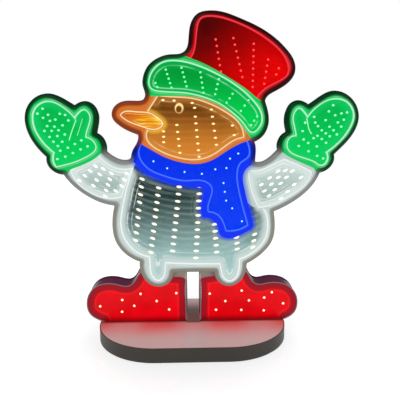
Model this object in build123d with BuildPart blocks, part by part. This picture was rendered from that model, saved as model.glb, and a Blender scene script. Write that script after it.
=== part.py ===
from build123d import *
import os

os.makedirs("parts", exist_ok=True)

# A flat snowman light box that stands on a racetrack plinth.
# Millimetres. +X is the snowman's left-hand side as seen from the front, +Z is up and
# the front faces -Y. The origin is the middle of the plinth's underside.
# Depths are distances in front of the X-Z plane, so a depth of 30 lies at Y = -30.

# ---- plinth ---------------------------------------------------------------------------
PLINTH_LENGTH = 337
PLINTH_WIDTH = 217
PAD_THICKNESS = 2
PLINTH_TOP = 26
SHEET_THICKNESS = 2
PAD_INSET = 3
SHEET_INSET = 1.5

# ---- snowman panel --------------------------------------------------------------------
PANEL_BACK = 4
BACK_THICKNESS = 2.5
MIRROR_BACK = 22.5
MIRROR_THICKNESS = 1.5
LENS_SEAT = 27
LENS_THICKNESS = 2
BEZEL_FRONT = 32
TRIM_FRONT = 30.5
TRIM_LIP_BACK = 22
LIP_THICKNESS = 1.2
RETURN_INSET = 1.5
RETURN_THICKNESS = 2
BACK_INSET = 3.8
MIRROR_INSET = 5
TRIM_WIDTH = 6

# ---- boots ----------------------------------------------------------------------------
BOOT_FRONT = 4
BOOT_BACK = -35
BOOT_WALL = 2
BOOT_LENS_THICKNESS = 3
BOOT_BACK_THICKNESS = 2
BOOT_BACK_LIP = 1.2
BOOT_CLEARANCE = 0.2
BOOT_MIRROR_FRONT = -1
BLOCK_HEIGHT = 14
BLOCK_FRONT = -8
BLOCK_THICKNESS = 22
BLOCKS = {"left": (-150, -22), "right": (26, 154)}

# ---- battery case on the panel's back ---------------------------------------------------
CASE_LEFT = -39.5
CASE_RIGHT = 49
CASE_BOTTOM = 181
CASE_TOP = 242
CASE_REAR = -15
CASE_WALL = 2
BAY_RIGHT = 21
DOOR_THICKNESS = 2
DOOR_GAP = 0.3
CELL_RADIUS = 7.1
CELL_LENGTH = 50.5
CELL_HEIGHTS = [202, 217, 232]
HINGE_HEIGHT = 243.8
HINGE_REAR = -18.6
HINGE_PIN_RADIUS = 1.2
HINGE_CLEARANCE = 0.08
KNUCKLE_RADIUS = 2.6
KNUCKLE_LEFT = -28
KNUCKLE_RIGHT = 8
LUG_WIDTH = 5
DOOR_SCREW = (-11, 187.6)
SWITCH = (35, 219)
SWITCH_TRAVEL = 3

# ---- small parts ----------------------------------------------------------------------
LED_WIDTH = 4
LED_HEIGHT = 2.8
LED_DEPTH = 1.6
CONTACT_THICKNESS = 0.5
SPRING_RADIUS = 3.6
SPRING_WIRE = 0.4
SPRING_TURNS = 4
PILLAR_RADIUS = 3.5
SCREW_RADIUS = 1.5
SCREW_HEAD_RADIUS = 2.8
SCREW_HEAD_HEIGHT = 1.8
BOLT_RADIUS = 2
BOLT_HEAD_RADIUS = 3.8
BOLT_HEAD_HEIGHT = 2.4


OFFSET_TOLERANCE = 0.002


def front(depth):
    """Upright plane, facing the viewer, that lies depth in front of the X-Z plane."""
    return Plane.XZ.offset(depth)


def outline(*runs):
    """Face inside a closed chain of runs: two points are a straight run, more are a curve."""
    with BuildSketch() as face:
        with BuildLine():
            for run in runs:
                if len(run) == 2:
                    Line(*run)
                else:
                    Spline(*run)
        make_face()
    return face.sketch


def grown(face, amount):
    """The face with its edge moved outwards by amount, or inwards when it is negative."""
    with BuildSketch() as moved:
        add(face)
        offset(amount=amount)
    with BuildSketch() as result:
        add(moved.sketch.to_splines(3, OFFSET_TOLERANCE))
    return result.sketch


def common(first, second):
    """The part of the first face that the second one covers."""
    with BuildSketch() as result:
        add(first)
        add(second, mode=Mode.INTERSECT)
    return result.sketch


def without(first, *others):
    """The first face with the others taken away."""
    with BuildSketch() as result:
        add(first)
        for other in others:
            add(other, mode=Mode.SUBTRACT)
    return result.sketch


def plate(face, back, thickness):
    """Flat piece of the face's shape; its rear lies at the depth called back."""
    with BuildPart() as piece:
        with BuildSketch(front(back)):
            add(face)
        extrude(amount=thickness)
    return piece.part


def save(name, piece):
    """Label the piece and write it to its own file."""
    piece.label = name
    export_step(piece, f"parts/{name}.step")


def region(*corners):
    """Straight-sided face that picks out one area of the panel."""
    with BuildSketch() as result:
        Polygon(*corners, align=None)
    return result.sketch


def along(start, end, count):
    """Points evenly spaced from start to end, both included."""
    steps = max(count - 1, 1)
    return [
        (start[0] + (end[0] - start[0]) * i / steps, start[1] + (end[1] - start[1]) * i / steps)
        for i in range(count)
    ]


# ---- outline of the snowman panel -------------------------------------------------------
NOTCH_HAT = (123.5, 420)
NOTCH_SCARF_RIGHT = (106, 353.5)
NOTCH_ARM_RIGHT = (108, 317.5)
NOTCH_CUFF_RIGHT = (149, 338.5)
NOTCH_THUMB_BASE_RIGHT = (163.5, 368)
NOTCH_THUMB_RIGHT = (198, 412.5)
NOTCH_PALM_RIGHT = (242.5, 330.5)
NOTCH_WRIST_RIGHT = (220, 300.5)
NOTCH_ELBOW_RIGHT = (141.5, 233.5)
NOTCH_HIP_RIGHT = (95, 141)
CROTCH_RIGHT = (40.5, 127.5)
CROTCH_LEFT = (-33, 127.5)
NOTCH_HIP_LEFT = (-89.5, 147)
NOTCH_ELBOW_LEFT = (-130, 247)
NOTCH_WRIST_LEFT = (-215, 301)
NOTCH_PALM_LEFT = (-241.5, 330)
NOTCH_THUMB_LEFT = (-192, 413)
NOTCH_THUMB_BASE_LEFT = (-159, 368)
NOTCH_CUFF_LEFT = (-143.5, 337.5)
CHEEK_LEFT = (-87.5, 367)

silhouette = outline(
    [
        CHEEK_LEFT, (-105, 374), (-120, 383.5), (-129, 394), (-129.5, 403.5), (-121.5, 415),
        (-108, 420), (-88, 420), (-77, 423), (-73.5, 431.5), (-77, 446), (-76, 461), (-68, 477),
        (-52, 489), (-32, 494.5), (-15, 496), (-5, 503), (-1, 515), (0.5, 530), (4.5, 547),
        (14, 558.5), (30, 562.8), (50, 561.7), (80, 552), (110, 539), (140, 520), (160, 501),
        (172, 482), (172, 464), (160, 449), (140, 437), (128, 429), NOTCH_HAT,
    ],
    [
        NOTCH_HAT, (129, 402), (130.3, 385), (123, 365.5), (114, 357.3), NOTCH_SCARF_RIGHT,
    ],
    [NOTCH_SCARF_RIGHT, (109, 340), (108.5, 328), NOTCH_ARM_RIGHT],
    [NOTCH_ARM_RIGHT, (121, 317.5), (135, 325.5), NOTCH_CUFF_RIGHT],
    [NOTCH_CUFF_RIGHT, (148.5, 351), (154, 362), NOTCH_THUMB_BASE_RIGHT],
    [
        NOTCH_THUMB_BASE_RIGHT, (160, 385), (161.5, 402), (169, 415), (180, 419.7),
        (190, 417.5), NOTCH_THUMB_RIGHT,
    ],
    [
        NOTCH_THUMB_RIGHT, (215, 424), (239, 435), (262, 429), (279, 410), (283, 392),
        (274, 365), (258, 345.5), NOTCH_PALM_RIGHT,
    ],
    [NOTCH_PALM_RIGHT, (243.5, 321), (236, 308), NOTCH_WRIST_RIGHT],
    [
        NOTCH_WRIST_RIGHT, (208, 279), (190, 261), (166, 245), NOTCH_ELBOW_RIGHT,
    ],
    [
        NOTCH_ELBOW_RIGHT, (143.6, 212), (140, 183), (122, 159), NOTCH_HIP_RIGHT,
    ],
    [
        NOTCH_HIP_RIGHT, (93, 125), (84, 109), (66.5, 100.8), (50, 106.5), (42, 118), CROTCH_RIGHT,
    ],
    [CROTCH_RIGHT, CROTCH_LEFT],
    [
        CROTCH_LEFT, (-35, 118), (-44, 106), (-59, 101.3), (-76, 107.5), (-86, 121),
        (-90, 135), NOTCH_HIP_LEFT,
    ],
    [
        NOTCH_HIP_LEFT, (-112, 159), (-130, 182), (-135.3, 209), NOTCH_ELBOW_LEFT,
    ],
    [
        NOTCH_ELBOW_LEFT, (-153, 252), (-180, 266), (-203, 285), NOTCH_WRIST_LEFT,
    ],
    [NOTCH_WRIST_LEFT, (-232, 306.5), (-241, 318), NOTCH_PALM_LEFT],
    [
        NOTCH_PALM_LEFT, (-260, 351), (-272.5, 378), (-273, 402), (-258, 425), (-235, 432.7),
        (-210, 424), NOTCH_THUMB_LEFT,
    ],
    [
        NOTCH_THUMB_LEFT, (-184, 418), (-174, 420), (-162, 414.5), (-155, 401), (-155.5, 385),
        NOTCH_THUMB_BASE_LEFT,
    ],
    [NOTCH_THUMB_BASE_LEFT, (-148, 360), (-143.5, 349), NOTCH_CUFF_LEFT],
    [
        NOTCH_CUFF_LEFT, (-126, 325.5), (-110, 322), (-102, 324.5), (-98.5, 335), (-90.5, 349.5),
        (-86.8, 360), CHEEK_LEFT,
    ],
)

# ---- windows of the coloured lenses: the line of the raised bead ------------------------
crown_window = outline(
    [
        (1, 488), (7, 498), (10.5, 515), (13, 535), (19, 550), (34, 553.5), (60, 549),
        (100, 533), (137, 509), (158, 484), (160, 463), (145, 452), (118, 436), (109, 424),
    ],
    [(109, 424), (1, 488)],
)
brim_window = outline(
    [
        (-67, 450), (-60, 469), (-44, 481.5), (-24, 484), (0, 480), (40, 464.5), (80, 441),
        (104, 419.5), (117, 400), (117, 382), (103, 369.3), (91, 381.5), (72, 400.5),
        (50, 416), (20, 428.2), (-10, 434.5), (-48, 436.8), (-64, 442), (-67, 450),
    ],
)
face_window = outline(
    [(-70, 403.5), (-53, 428.5)],
    [(-53, 428.5), (-25, 426), (2, 423.7), (30, 415.5), (60, 400), (79, 385), (88, 361)],
    [(88, 361), (65, 352), (42, 335.5), (15, 325.2), (-20, 327.8), (-52, 340), (-72, 358), (-71, 373)],
    [(-71, 373), (-70, 403.5)],
)
nose_face = outline(
    [
        (-118, 398), (-109, 405), (-88, 404.6), (-68, 402.8), (-53, 394), (-44.5, 383),
        (-51, 375), (-66, 373), (-84, 378.5), (-106, 387.5), (-118, 398),
    ],
)
scarf_window = outline(
    [
        (-82, 350), (-86, 332), (-74, 312), (-45, 297.5), (-8, 289), (26, 286.5), (36, 276),
        (32.5, 255), (30, 235),
    ],
    [(30, 235), (49, 226.5), (57.5, 211), (60, 201.5)],
    [(60, 201.5), (76, 202), (96, 210.5)],
    [(96, 210.5), (88, 239), (80, 272), (77.5, 303), (84, 319), (96, 328), (97, 344), (90, 358)],
    [(90, 358), (-82, 350)],
)
body_window = outline(
    [(-94, 318), (-107, 281), (-117, 240), (-120, 208), (-109, 179.5), (-73.5, 157)],
    [(-73.5, 157), (-71.5, 132), (-66, 118), (-58.5, 114.3), (-51.5, 119), (-48, 134), (-46, 146)],
    [(-46, 146), (-15, 144), (15, 143), (49, 143)],
    [(49, 143), (53.5, 124), (59.5, 113.5), (67.5, 111.5), (77, 118), (81.5, 132), (83, 151)],
    [(83, 151), (110, 165.5), (127.5, 188), (131, 208), (127.5, 230), (118, 243)],
    [(118, 243), (118, 318)],
    [(118, 318), (-94, 318)],
)
left_arm_window = outline(
    [(-158, 336), (-138, 315.5), (-115, 307.5), (-100, 309)],
    [(-100, 309), (-108, 292), (-119, 262)],
    [(-119, 262), (-142, 260), (-170, 269.5), (-192, 288), (-201, 306)],
    [(-201, 306), (-158, 336)],
)
right_arm_window = outline(
    [(98, 304), (118, 304.3), (140, 314), (158, 322)],
    [(158, 322), (183, 311.5), (204, 301)],
    [(204, 301), (194, 280), (170, 262), (143, 247.5), (116, 242)],
    [(116, 242), (107, 261), (100.5, 284), (98, 304)],
)
left_mitten_window = outline(
    [(-227.5, 337), (-248, 359), (-259, 384), (-256, 407), (-238, 419.5), (-214, 413), (-191, 391)],
    [(-191, 391), (-183, 402.5), (-175, 406), (-168.3, 400), (-170, 381), (-175, 361)],
    [(-175, 361), (-162.5, 354), (-159, 346), (-175, 330.5), (-200, 320.3), (-226, 314)],
    [(-226, 314), (-229.8, 325), (-227.5, 337)],
)
right_mitten_window = outline(
    [(228, 334), (250, 352), (267, 375), (272.5, 398), (260, 417), (240, 421.7), (217, 413), (196, 391.5)],
    [(196, 391.5), (188, 402), (181, 406.5), (174.3, 400), (174, 381), (178, 361)],
    [(178, 361), (165, 355.5), (163.5, 343.5), (185, 328), (215, 315)],
    [(215, 315), (228, 316.5), (231, 324), (228, 334)],
)
EYE_CENTRE = (-18.7, 408.6)
EYE_RADII = (8, 9.2)
EYE_HOLE_CENTRE = (-19.2, 407)
EYE_HOLE_RADII = (4, 5)
EYE_TILT = -8

# ---- edges between neighbouring lenses; each cell runs on past the panel's outline -------
brim_cell = outline(
    [
        (-26, 508), (-10, 493.5), (10, 485.5), (40, 471.5), (70, 454), (100, 433.5), (113, 423),
        (132, 417),
    ],
    [(132, 417), (150, 400)],
    [(150, 400), (120, 345)],
    [(120, 345), (104, 354)],
    [
        (104, 354), (97, 364), (88, 376.5), (70, 397.5), (44, 414.5), (14, 425.5), (-20, 428.5),
        (-55, 428.3), (-84, 430),
    ],
    [(-84, 430), (-100, 470)],
    [(-100, 470), (-26, 508)],
)
face_cell = outline(
    [
        (-104, 362), (-86, 352), (-62, 337.5), (-38, 325.5), (-10, 317.7), (14, 316.4), (38, 323.5),
        (62, 338.5), (84, 350), (112, 358),
    ],
    [(112, 358), (110, 375)],
    [(110, 375), (60, 430)],
    [(60, 430), (-140, 440)],
    [(-140, 440), (-140, 360)],
    [(-140, 360), (-104, 362)],
)
scarf_cell = outline(
    [(-112, 330), (-97, 320.5), (-84, 307), (-62, 294), (-32, 283.5), (-5, 278.5), (20, 276)],
    [(20, 276), (18.5, 252), (16.3, 238), (21, 224)],
    [(21, 224), (38, 218.5), (45.5, 208), (50, 193), (63, 187), (84, 192.5), (103, 202)],
    [(103, 202), (107, 209)],
    [(107, 209), (97.5, 246), (90.5, 275), (90, 301), (100, 312.3), (120, 316)],
    [(120, 316), (120, 365)],
    [(120, 365), (-112, 365)],
    [(-112, 365), (-112, 330)],
)
left_mitten_cell = outline(
    [(-228, 288), (-208, 301), (-203, 308.5)],
    [(-203, 308.5), (-180, 317), (-160, 327.5), (-147, 338), (-136, 350)],
    [(-136, 350), (-140, 445)],
    [(-140, 445), (-290, 445)],
    [(-290, 445), (-290, 288)],
    [(-290, 288), (-228, 288)],
)
right_mitten_cell = outline(
    [(232, 288), (214, 300), (209, 307.5)],
    [(209, 307.5), (184, 318.5), (160, 331), (144, 344)],
    [(144, 344), (150, 436)],
    [(150, 436), (300, 436)],
    [(300, 436), (300, 288)],
    [(300, 288), (232, 288)],
)
body_cell = outline(
    [(-90, 322), (-104, 298), (-113, 271), (-119, 256), (-140, 240)],
    [(-140, 240), (-145, 95)],
    [(-145, 95), (150, 95)],
    [(150, 95), (152, 229)],
    [(152, 229), (131, 238), (112, 240), (96, 250)],
    [(96, 250), (80, 322)],
    [(80, 322), (-90, 322)],
)
crown_cell = region((-25, 480), (-25, 575), (190, 575), (190, 441), (150, 438), (128, 405))
left_arm_cell = region((-230, 240), (-230, 345), (-85, 345), (-85, 240))
right_arm_cell = region((85, 225), (85, 345), (235, 345), (235, 225))

# ---- light-emitting diodes ----------------------------------------------------------------
# Rows: first point, last point and how many.
LED_ROWS = {
    "crown": [
        ((42.5, 519), (51, 468), 6), ((71.5, 521), (86.5, 459), 7), ((105, 512), (104, 443), 8),
        ((129, 487), (123, 448), 5), ((147, 473), (143, 463), 2),
    ],
    "brim": [
        ((-57.5, 450), (-54.5, 443.5), 2), ((-40, 471.5), (-31, 442.5), 5),
        ((-14, 474.5), (-6, 444.5), 5), ((17, 467), (22, 434), 5), ((47.5, 456), (41.5, 431.5), 4),
        ((70.5, 432), (60.5, 417.5), 3), ((97, 421.5), (84.5, 404), 3), ((112, 395), (102, 380.5), 3),
    ],
    "face": [
        ((-45.5, 422.5), (-27, 421.5), 2), ((-45.5, 371), (-45.5, 353), 3),
        ((-23, 381.5), (-18.5, 335), 5), ((3, 417.5), (7, 409.5), 2), ((8, 395), (14, 328), 7),
        ((35, 406.5), (43.5, 348), 6), ((70.5, 380), (73.5, 364), 2), ((-105, 396), (-58.5, 386), 4),
    ],
    "scarf": [
        ((-63.5, 321), (-40.5, 309), 2), ((-11, 302.5), (18.5, 299), 2), ((60.5, 308.5), (66.5, 324.5), 2),
        ((55.5, 283), (60, 252.5), 3), ((70.5, 239), (87.5, 216), 2), ((80.5, 333), (41.5, 306.5), 2),
    ],
    "body": [
        ((-83.5, 291), (-97.5, 184.5), 9), ((-55.5, 275.5), (-71.5, 162.5), 10),
        ((-20.5, 277), (-33.5, 164.5), 10), ((14.5, 277.5), (7, 151.5), 11),
        ((40, 211), (43.5, 161.5), 5), ((78.5, 187.5), (79.5, 166.5), 3), ((110, 192.5), (107, 169.5), 3),
    ],
    "left_arm": [
        ((-161.5, 313.5), (-189.5, 289.5), 4), ((-149, 309), (-166.5, 280.5), 4),
        ((-135, 301), (-145, 272), 4), ((-109, 300.5), (-118.5, 279.5), 3), ((-129, 271), (-147, 262), 2),
    ],
    "right_arm": [
        ((149, 302.5), (120.5, 279.5), 3), ((161.5, 303.5), (126, 268.5), 4),
        ((173.5, 302.5), (134, 260), 5), ((188.5, 291.5), (155, 255), 4),
    ],
}
# Scattered lights: where each one stands.
LED_POINTS = {
    "left_mitten": [
        (-245, 409.5), (-254, 401.5), (-245, 394.5), (-236.5, 399.5), (-234, 389.5), (-239, 381),
        (-227, 380), (-213.5, 382), (-208.5, 399), (-225, 391.5), (-232, 373), (-220.5, 374),
        (-244, 373), (-236, 363), (-223, 364.5), (-210.5, 367), (-230, 355), (-215.5, 355),
        (-223, 348), (-194.5, 351), (-183.5, 357), (-173.5, 347), (-206.5, 345), (-219.5, 340),
        (-185.5, 342), (-198.5, 336), (-211.5, 330), (-225, 326), (-203.5, 390), (-217, 401),
    ],
    "right_mitten": [
        (233, 402.5), (240, 412.5), (264, 400.5), (254.5, 399), (244, 396), (208.5, 393.5),
        (210.5, 384), (249, 384), (228, 388), (215.5, 378), (235, 377), (255, 377), (222, 371),
        (242, 371), (229, 366), (248, 364), (215, 362), (236, 361), (208.5, 358), (222.5, 356.5),
        (193.5, 384), (189.5, 370), (191.5, 356), (199.5, 350), (183.5, 345), (214.5, 344),
        (200.5, 336), (215.5, 328), (226, 323.5), (259, 388.5), (230, 350),
    ],
    "left_boot": [
        (-168, 57), (-128.5, 46), (-127.5, 68.5), (-106, 57), (-94, 79.5), (-65, 65.5),
        (-42.5, 49), (-29, 80),
    ],
    "right_boot": [
        (32, 78), (43.5, 47), (60.5, 63.5), (90, 46), (90.5, 83), (104, 64), (132, 69),
        (131.5, 44.5), (146, 79), (167, 57.5),
    ],
}

# ---- outlines of the boots ---------------------------------------------------------------
left_boot = outline(
    [(-10.5, 26), (-10.5, 102)],
    [
        (-10.5, 102), (-12.5, 108.5), (-19, 111.7), (-36, 112.8), (-58, 121), (-82, 124.5),
        (-97, 116), (-105.5, 102.5), (-116, 95.4), (-135, 98.2), (-157, 100.2), (-175, 94.5),
        (-188, 80), (-192.3, 62), (-187.5, 43), (-174, 32), (-158, 26),
    ],
    [(-158, 26), (-10.5, 26)],
)
right_boot = outline(
    [(14, 26), (14, 102)],
    [
        (14, 102), (15.8, 108), (22, 110.8), (38, 113.5), (60, 122.5), (86, 125), (101, 117),
        (109, 103), (119, 95.7), (138, 97.6), (158, 97.8), (176, 91.5), (189, 78), (193.7, 61),
        (189, 41), (177, 30.5), (163, 26),
    ],
    [(163, 26), (14, 26)],
)

# ---- panel: side walls, back plate, mirror sheet and trim --------------------------------
wall_outer = grown(silhouette, -RETURN_INSET)
wall_inner = grown(silhouette, -RETURN_INSET - RETURN_THICKNESS)
bezel_field = grown(silhouette, -TRIM_WIDTH)

RETURNS = {
    "head_return": region(
        (-142, 339), (-142, 445), (-100, 580), (190, 580), (190, 441), (140, 430), (135, 345),
        (108.5, 317.5), (80, 300), (-80, 300), (-103, 322.3), (-125, 335),
    ),
    "left_arm_return": region(
        (-290, 240), (-290, 445), (-142.2, 445), (-142.2, 339), (-125.2, 334.8), (-103.2, 322.1),
        (-90, 300), (-110, 262), (-130, 247), (-140, 240),
    ),
    "right_arm_return": region(
        (300, 225), (300, 440.8), (190, 440.8), (140.2, 429.8), (135.2, 344.8), (108.7, 317.3),
        (95, 300), (115, 255), (141.5, 233.7), (155, 225),
    ),
    "body_return": region(
        (-140, 95), (-140, 239.8), (-130, 246.8), (-100, 262), (100, 262), (141.5, 233.4),
        (155, 224.8), (155, 95),
    ),
}
wall_ring = without(wall_outer, wall_inner)
for name, length in RETURNS.items():
    save(name, plate(common(wall_ring, length), PANEL_BACK, LENS_SEAT - PANEL_BACK))

BACK_SCREWS = [
    (20, 548), (75, 536), (122, 507), (157, 474), (112, 442), (-52, 474), (-56, 442), (108, 390),
    (-108, 397), (-62, 352), (82, 345), (-88, 318), (95, 300), (-160, 288), (-190, 312),
    (-232, 340), (-256, 380), (-222, 410), (-176, 392), (160, 288), (196, 312), (232, 342),
    (262, 382), (228, 412), (183, 392), (-118, 215), (126, 215), (-100, 180), (106, 178), (3, 152),
]
LEG_BOLTS = [(-70, 114), (-56, 110.5), (62.5, 110.5), (76.5, 114)]
LEAD_EXITS = [(-63, 117), (69.5, 117)]
LEAD_ENTRIES = [(30, 190), (36, 190)]
LEAD_RADIUS = 1.2

with BuildPart() as back_plate:
    with BuildSketch(front(PANEL_BACK)):
        add(grown(silhouette, -BACK_INSET))
        with Locations(*BACK_SCREWS):
            Circle(SCREW_RADIUS + 0.2, mode=Mode.SUBTRACT)
        with Locations(*LEG_BOLTS):
            Circle(BOLT_RADIUS + 0.2, mode=Mode.SUBTRACT)
        with Locations(*LEAD_EXITS, *LEAD_ENTRIES):
            Circle(LEAD_RADIUS + 0.5, mode=Mode.SUBTRACT)
    extrude(amount=BACK_THICKNESS)
save("back_plate", back_plate.part)

with BuildPart() as back_screws:
    with BuildSketch(front(PANEL_BACK - SCREW_HEAD_HEIGHT)):
        with Locations(*BACK_SCREWS):
            Circle(SCREW_HEAD_RADIUS)
    extrude(amount=SCREW_HEAD_HEIGHT)
    with BuildSketch(front(PANEL_BACK)):
        with Locations(*BACK_SCREWS):
            Circle(SCREW_RADIUS)
    extrude(amount=BACK_THICKNESS + 6)
save("back_screws", back_screws.part)

with BuildPart() as mirror_standoffs:
    with BuildSketch(front(PANEL_BACK + BACK_THICKNESS)):
        with Locations(*BACK_SCREWS):
            Circle(3.5)
            Circle(SCREW_RADIUS, mode=Mode.SUBTRACT)
    extrude(amount=MIRROR_BACK - PANEL_BACK - BACK_THICKNESS)
save("mirror_standoffs", mirror_standoffs.part)

mirror_face = grown(silhouette, -MIRROR_INSET)
save("mirror_sheet", plate(mirror_face, MIRROR_BACK, MIRROR_THICKNESS))

with BuildPart() as face_trim:
    with BuildSketch(front(LENS_SEAT + LENS_THICKNESS)):
        add(silhouette)
        add(bezel_field, mode=Mode.SUBTRACT)
    extrude(amount=TRIM_FRONT - LENS_SEAT - LENS_THICKNESS)
    with BuildSketch(front(TRIM_LIP_BACK)):
        add(silhouette)
        add(grown(silhouette, -LIP_THICKNESS), mode=Mode.SUBTRACT)
    extrude(amount=LENS_SEAT + LENS_THICKNESS - TRIM_LIP_BACK)
save("face_trim", face_trim.part)

# ---- panel: one coloured lens for each area -----------------------------------------------
CELLS = {
    "crown": (crown_cell, [brim_cell], crown_window),
    "brim": (brim_cell, [], brim_window),
    "face": (face_cell, [brim_cell], face_window),
    "scarf": (scarf_cell, [face_cell, brim_cell], scarf_window),
    "body": (body_cell, [scarf_cell], body_window),
    "left_arm": (left_arm_cell, [left_mitten_cell, body_cell, scarf_cell], left_arm_window),
    "right_arm": (right_arm_cell, [right_mitten_cell, body_cell, scarf_cell], right_arm_window),
    "left_mitten": (left_mitten_cell, [], left_mitten_window),
    "right_mitten": (right_mitten_cell, [], right_mitten_window),
}
for name, (cell, neighbours, window) in CELLS.items():
    pane = without(common(wall_outer, cell), *neighbours)
    bezel = without(common(bezel_field, pane), window)
    if name == "face":
        pane = without(pane, nose_face)
        bezel = without(bezel, nose_face)
    with BuildPart() as lens:
        with BuildSketch(front(LENS_SEAT)):
            add(pane)
        extrude(amount=LENS_THICKNESS)
        with BuildSketch(front(LENS_SEAT + LENS_THICKNESS)):
            add(bezel)
        extrude(amount=BEZEL_FRONT - LENS_SEAT - LENS_THICKNESS)
    save(f"{name}_lens", lens.part)

save("nose_lens", plate(nose_face, LENS_SEAT, BEZEL_FRONT + 1 - LENS_SEAT))

with BuildPart() as eye_ring:
    with BuildSketch(front(LENS_SEAT + LENS_THICKNESS)):
        with Locations(Location(EYE_CENTRE, EYE_TILT)):
            Ellipse(*EYE_RADII)
        with Locations(Location(EYE_HOLE_CENTRE, EYE_TILT)):
            Ellipse(*EYE_HOLE_RADII, mode=Mode.SUBTRACT)
    extrude(amount=2)
save("eye_ring", eye_ring.part)

# ---- panel: light-emitting diodes on the mirror sheet -------------------------------------
MIRROR_FRONT = MIRROR_BACK + MIRROR_THICKNESS
led_places = {name: [p for row in rows for p in along(*row)] for name, rows in LED_ROWS.items()}
led_places |= LED_POINTS
for name, places in led_places.items():
    base = BOOT_MIRROR_FRONT if name.endswith("boot") else MIRROR_FRONT
    with BuildPart() as leds:
        with BuildSketch(front(base)):
            with Locations(*places):
                Rectangle(LED_WIDTH, LED_HEIGHT)
        extrude(amount=LED_DEPTH)
    save(f"{name}_leds", leds.part)

# ---- boots ----------------------------------------------------------------------------------
BOOT_SCREWS = {"left": [(-174, 58), (-118, 80), (-27, 94)], "right": [(176, 58), (122, 80), (31, 94)]}
all_boot_screws = BOOT_SCREWS["left"] + BOOT_SCREWS["right"]
PLINTH_SCREW_DEPTH = BLOCK_FRONT - BLOCK_THICKNESS / 2
PLINTH_SCREWS = [(x, -PLINTH_SCREW_DEPTH) for x in (-130, -42, 46, 134)]
above_plinth = region((-210, PLINTH_TOP), (-210, 140), (210, 140), (210, PLINTH_TOP))
boot_outlines = {"left": left_boot, "right": right_boot}
boot_insides = {side: grown(shape, -BOOT_WALL) for side, shape in boot_outlines.items()}
boot_panels = {
    side: grown(shape, -BOOT_WALL - BOOT_CLEARANCE) for side, shape in boot_outlines.items()
}

for side, shape in boot_outlines.items():
    with BuildPart() as boot_return:
        with BuildSketch(front(BOOT_BACK + BOOT_BACK_THICKNESS)):
            add(without(shape, boot_insides[side]))
        extrude(amount=BOOT_FRONT - BOOT_BACK - BOOT_BACK_THICKNESS)
        with BuildSketch(Plane.XY.offset(PLINTH_TOP)):
            with Locations(*PLINTH_SCREWS):
                Circle(BOLT_RADIUS + 0.2)
        extrude(amount=BOOT_WALL, mode=Mode.SUBTRACT)
    save(f"{side}_boot_return", boot_return.part)

    with BuildPart() as boot_lens:
        with BuildSketch(front(BOOT_FRONT - BOOT_LENS_THICKNESS)):
            add(boot_panels[side])
            with Locations(*LEG_BOLTS):
                Circle(BOLT_RADIUS + 0.2, mode=Mode.SUBTRACT)
            with Locations(*LEAD_EXITS):
                Circle(LEAD_RADIUS + 0.5, mode=Mode.SUBTRACT)
        extrude(amount=BOOT_LENS_THICKNESS)
    save(f"{side}_boot_lens", boot_lens.part)

    with BuildPart() as boot_back:
        with BuildSketch(front(BOOT_BACK)):
            add(common(grown(shape, BOOT_BACK_LIP), above_plinth))
            with Locations(*LEG_BOLTS):
                Circle(BOLT_RADIUS + 0.2, mode=Mode.SUBTRACT)
            with Locations(*BOOT_SCREWS[side]):
                Circle(SCREW_RADIUS + 0.2, mode=Mode.SUBTRACT)
        extrude(amount=BOOT_BACK_THICKNESS)
    save(f"{side}_boot_back", boot_back.part)

with BuildPart() as boot_mirrors:
    with BuildSketch(front(BOOT_MIRROR_FRONT - MIRROR_THICKNESS)):
        add(boot_panels["left"])
        add(boot_panels["right"])
        with Locations(*LEG_BOLTS):
            Circle(PILLAR_RADIUS + 0.3, mode=Mode.SUBTRACT)
        with Locations(*LEAD_EXITS):
            Circle(LEAD_RADIUS + 0.5, mode=Mode.SUBTRACT)
    extrude(amount=MIRROR_THICKNESS)
save("boot_mirrors", boot_mirrors.part)

with BuildPart() as boot_blocks:
    for start, end in BLOCKS.values():
        with BuildSketch(front(BLOCK_FRONT - BLOCK_THICKNESS)):
            bottom = PLINTH_TOP + BOOT_WALL
            Polygon(
                (start, bottom), (end, bottom), (end, bottom + BLOCK_HEIGHT),
                (start, bottom + BLOCK_HEIGHT), align=None,
            )
        extrude(amount=BLOCK_THICKNESS)
    with BuildSketch(Plane.XY.offset(PLINTH_TOP + BOOT_WALL)):
        with Locations(*PLINTH_SCREWS):
            Circle(BOLT_RADIUS)
    extrude(amount=BLOCK_HEIGHT - 2, mode=Mode.SUBTRACT)
save("boot_blocks", boot_blocks.part)

with BuildPart() as boot_pillars:
    with BuildSketch(front(BOOT_BACK + BOOT_BACK_THICKNESS)):
        with Locations(*all_boot_screws):
            Circle(PILLAR_RADIUS)
            Circle(SCREW_RADIUS, mode=Mode.SUBTRACT)
    extrude(amount=BOOT_MIRROR_FRONT - MIRROR_THICKNESS - BOOT_BACK - BOOT_BACK_THICKNESS)
save("boot_pillars", boot_pillars.part)

with BuildPart() as boot_screws:
    with BuildSketch(front(BOOT_BACK - SCREW_HEAD_HEIGHT)):
        with Locations(*all_boot_screws):
            Circle(SCREW_HEAD_RADIUS)
    extrude(amount=SCREW_HEAD_HEIGHT)
    with BuildSketch(front(BOOT_BACK)):
        with Locations(*all_boot_screws):
            Circle(SCREW_RADIUS)
    extrude(amount=BOOT_BACK_THICKNESS + 8)
save("boot_screws", boot_screws.part)

# ---- legs: bolts that hold the panel to the boots ---------------------------------------------
BOLT_FRONT = 11
NUT_THICKNESS = 3.2

with BuildPart() as leg_bolts:
    with BuildSketch(front(BOOT_BACK - BOLT_HEAD_HEIGHT)):
        with Locations(*LEG_BOLTS):
            Circle(BOLT_HEAD_RADIUS)
    extrude(amount=BOLT_HEAD_HEIGHT)
    with BuildSketch(front(BOOT_BACK)):
        with Locations(*LEG_BOLTS):
            Circle(BOLT_RADIUS)
    extrude(amount=BOLT_FRONT - BOOT_BACK)
save("leg_bolts", leg_bolts.part)

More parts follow.
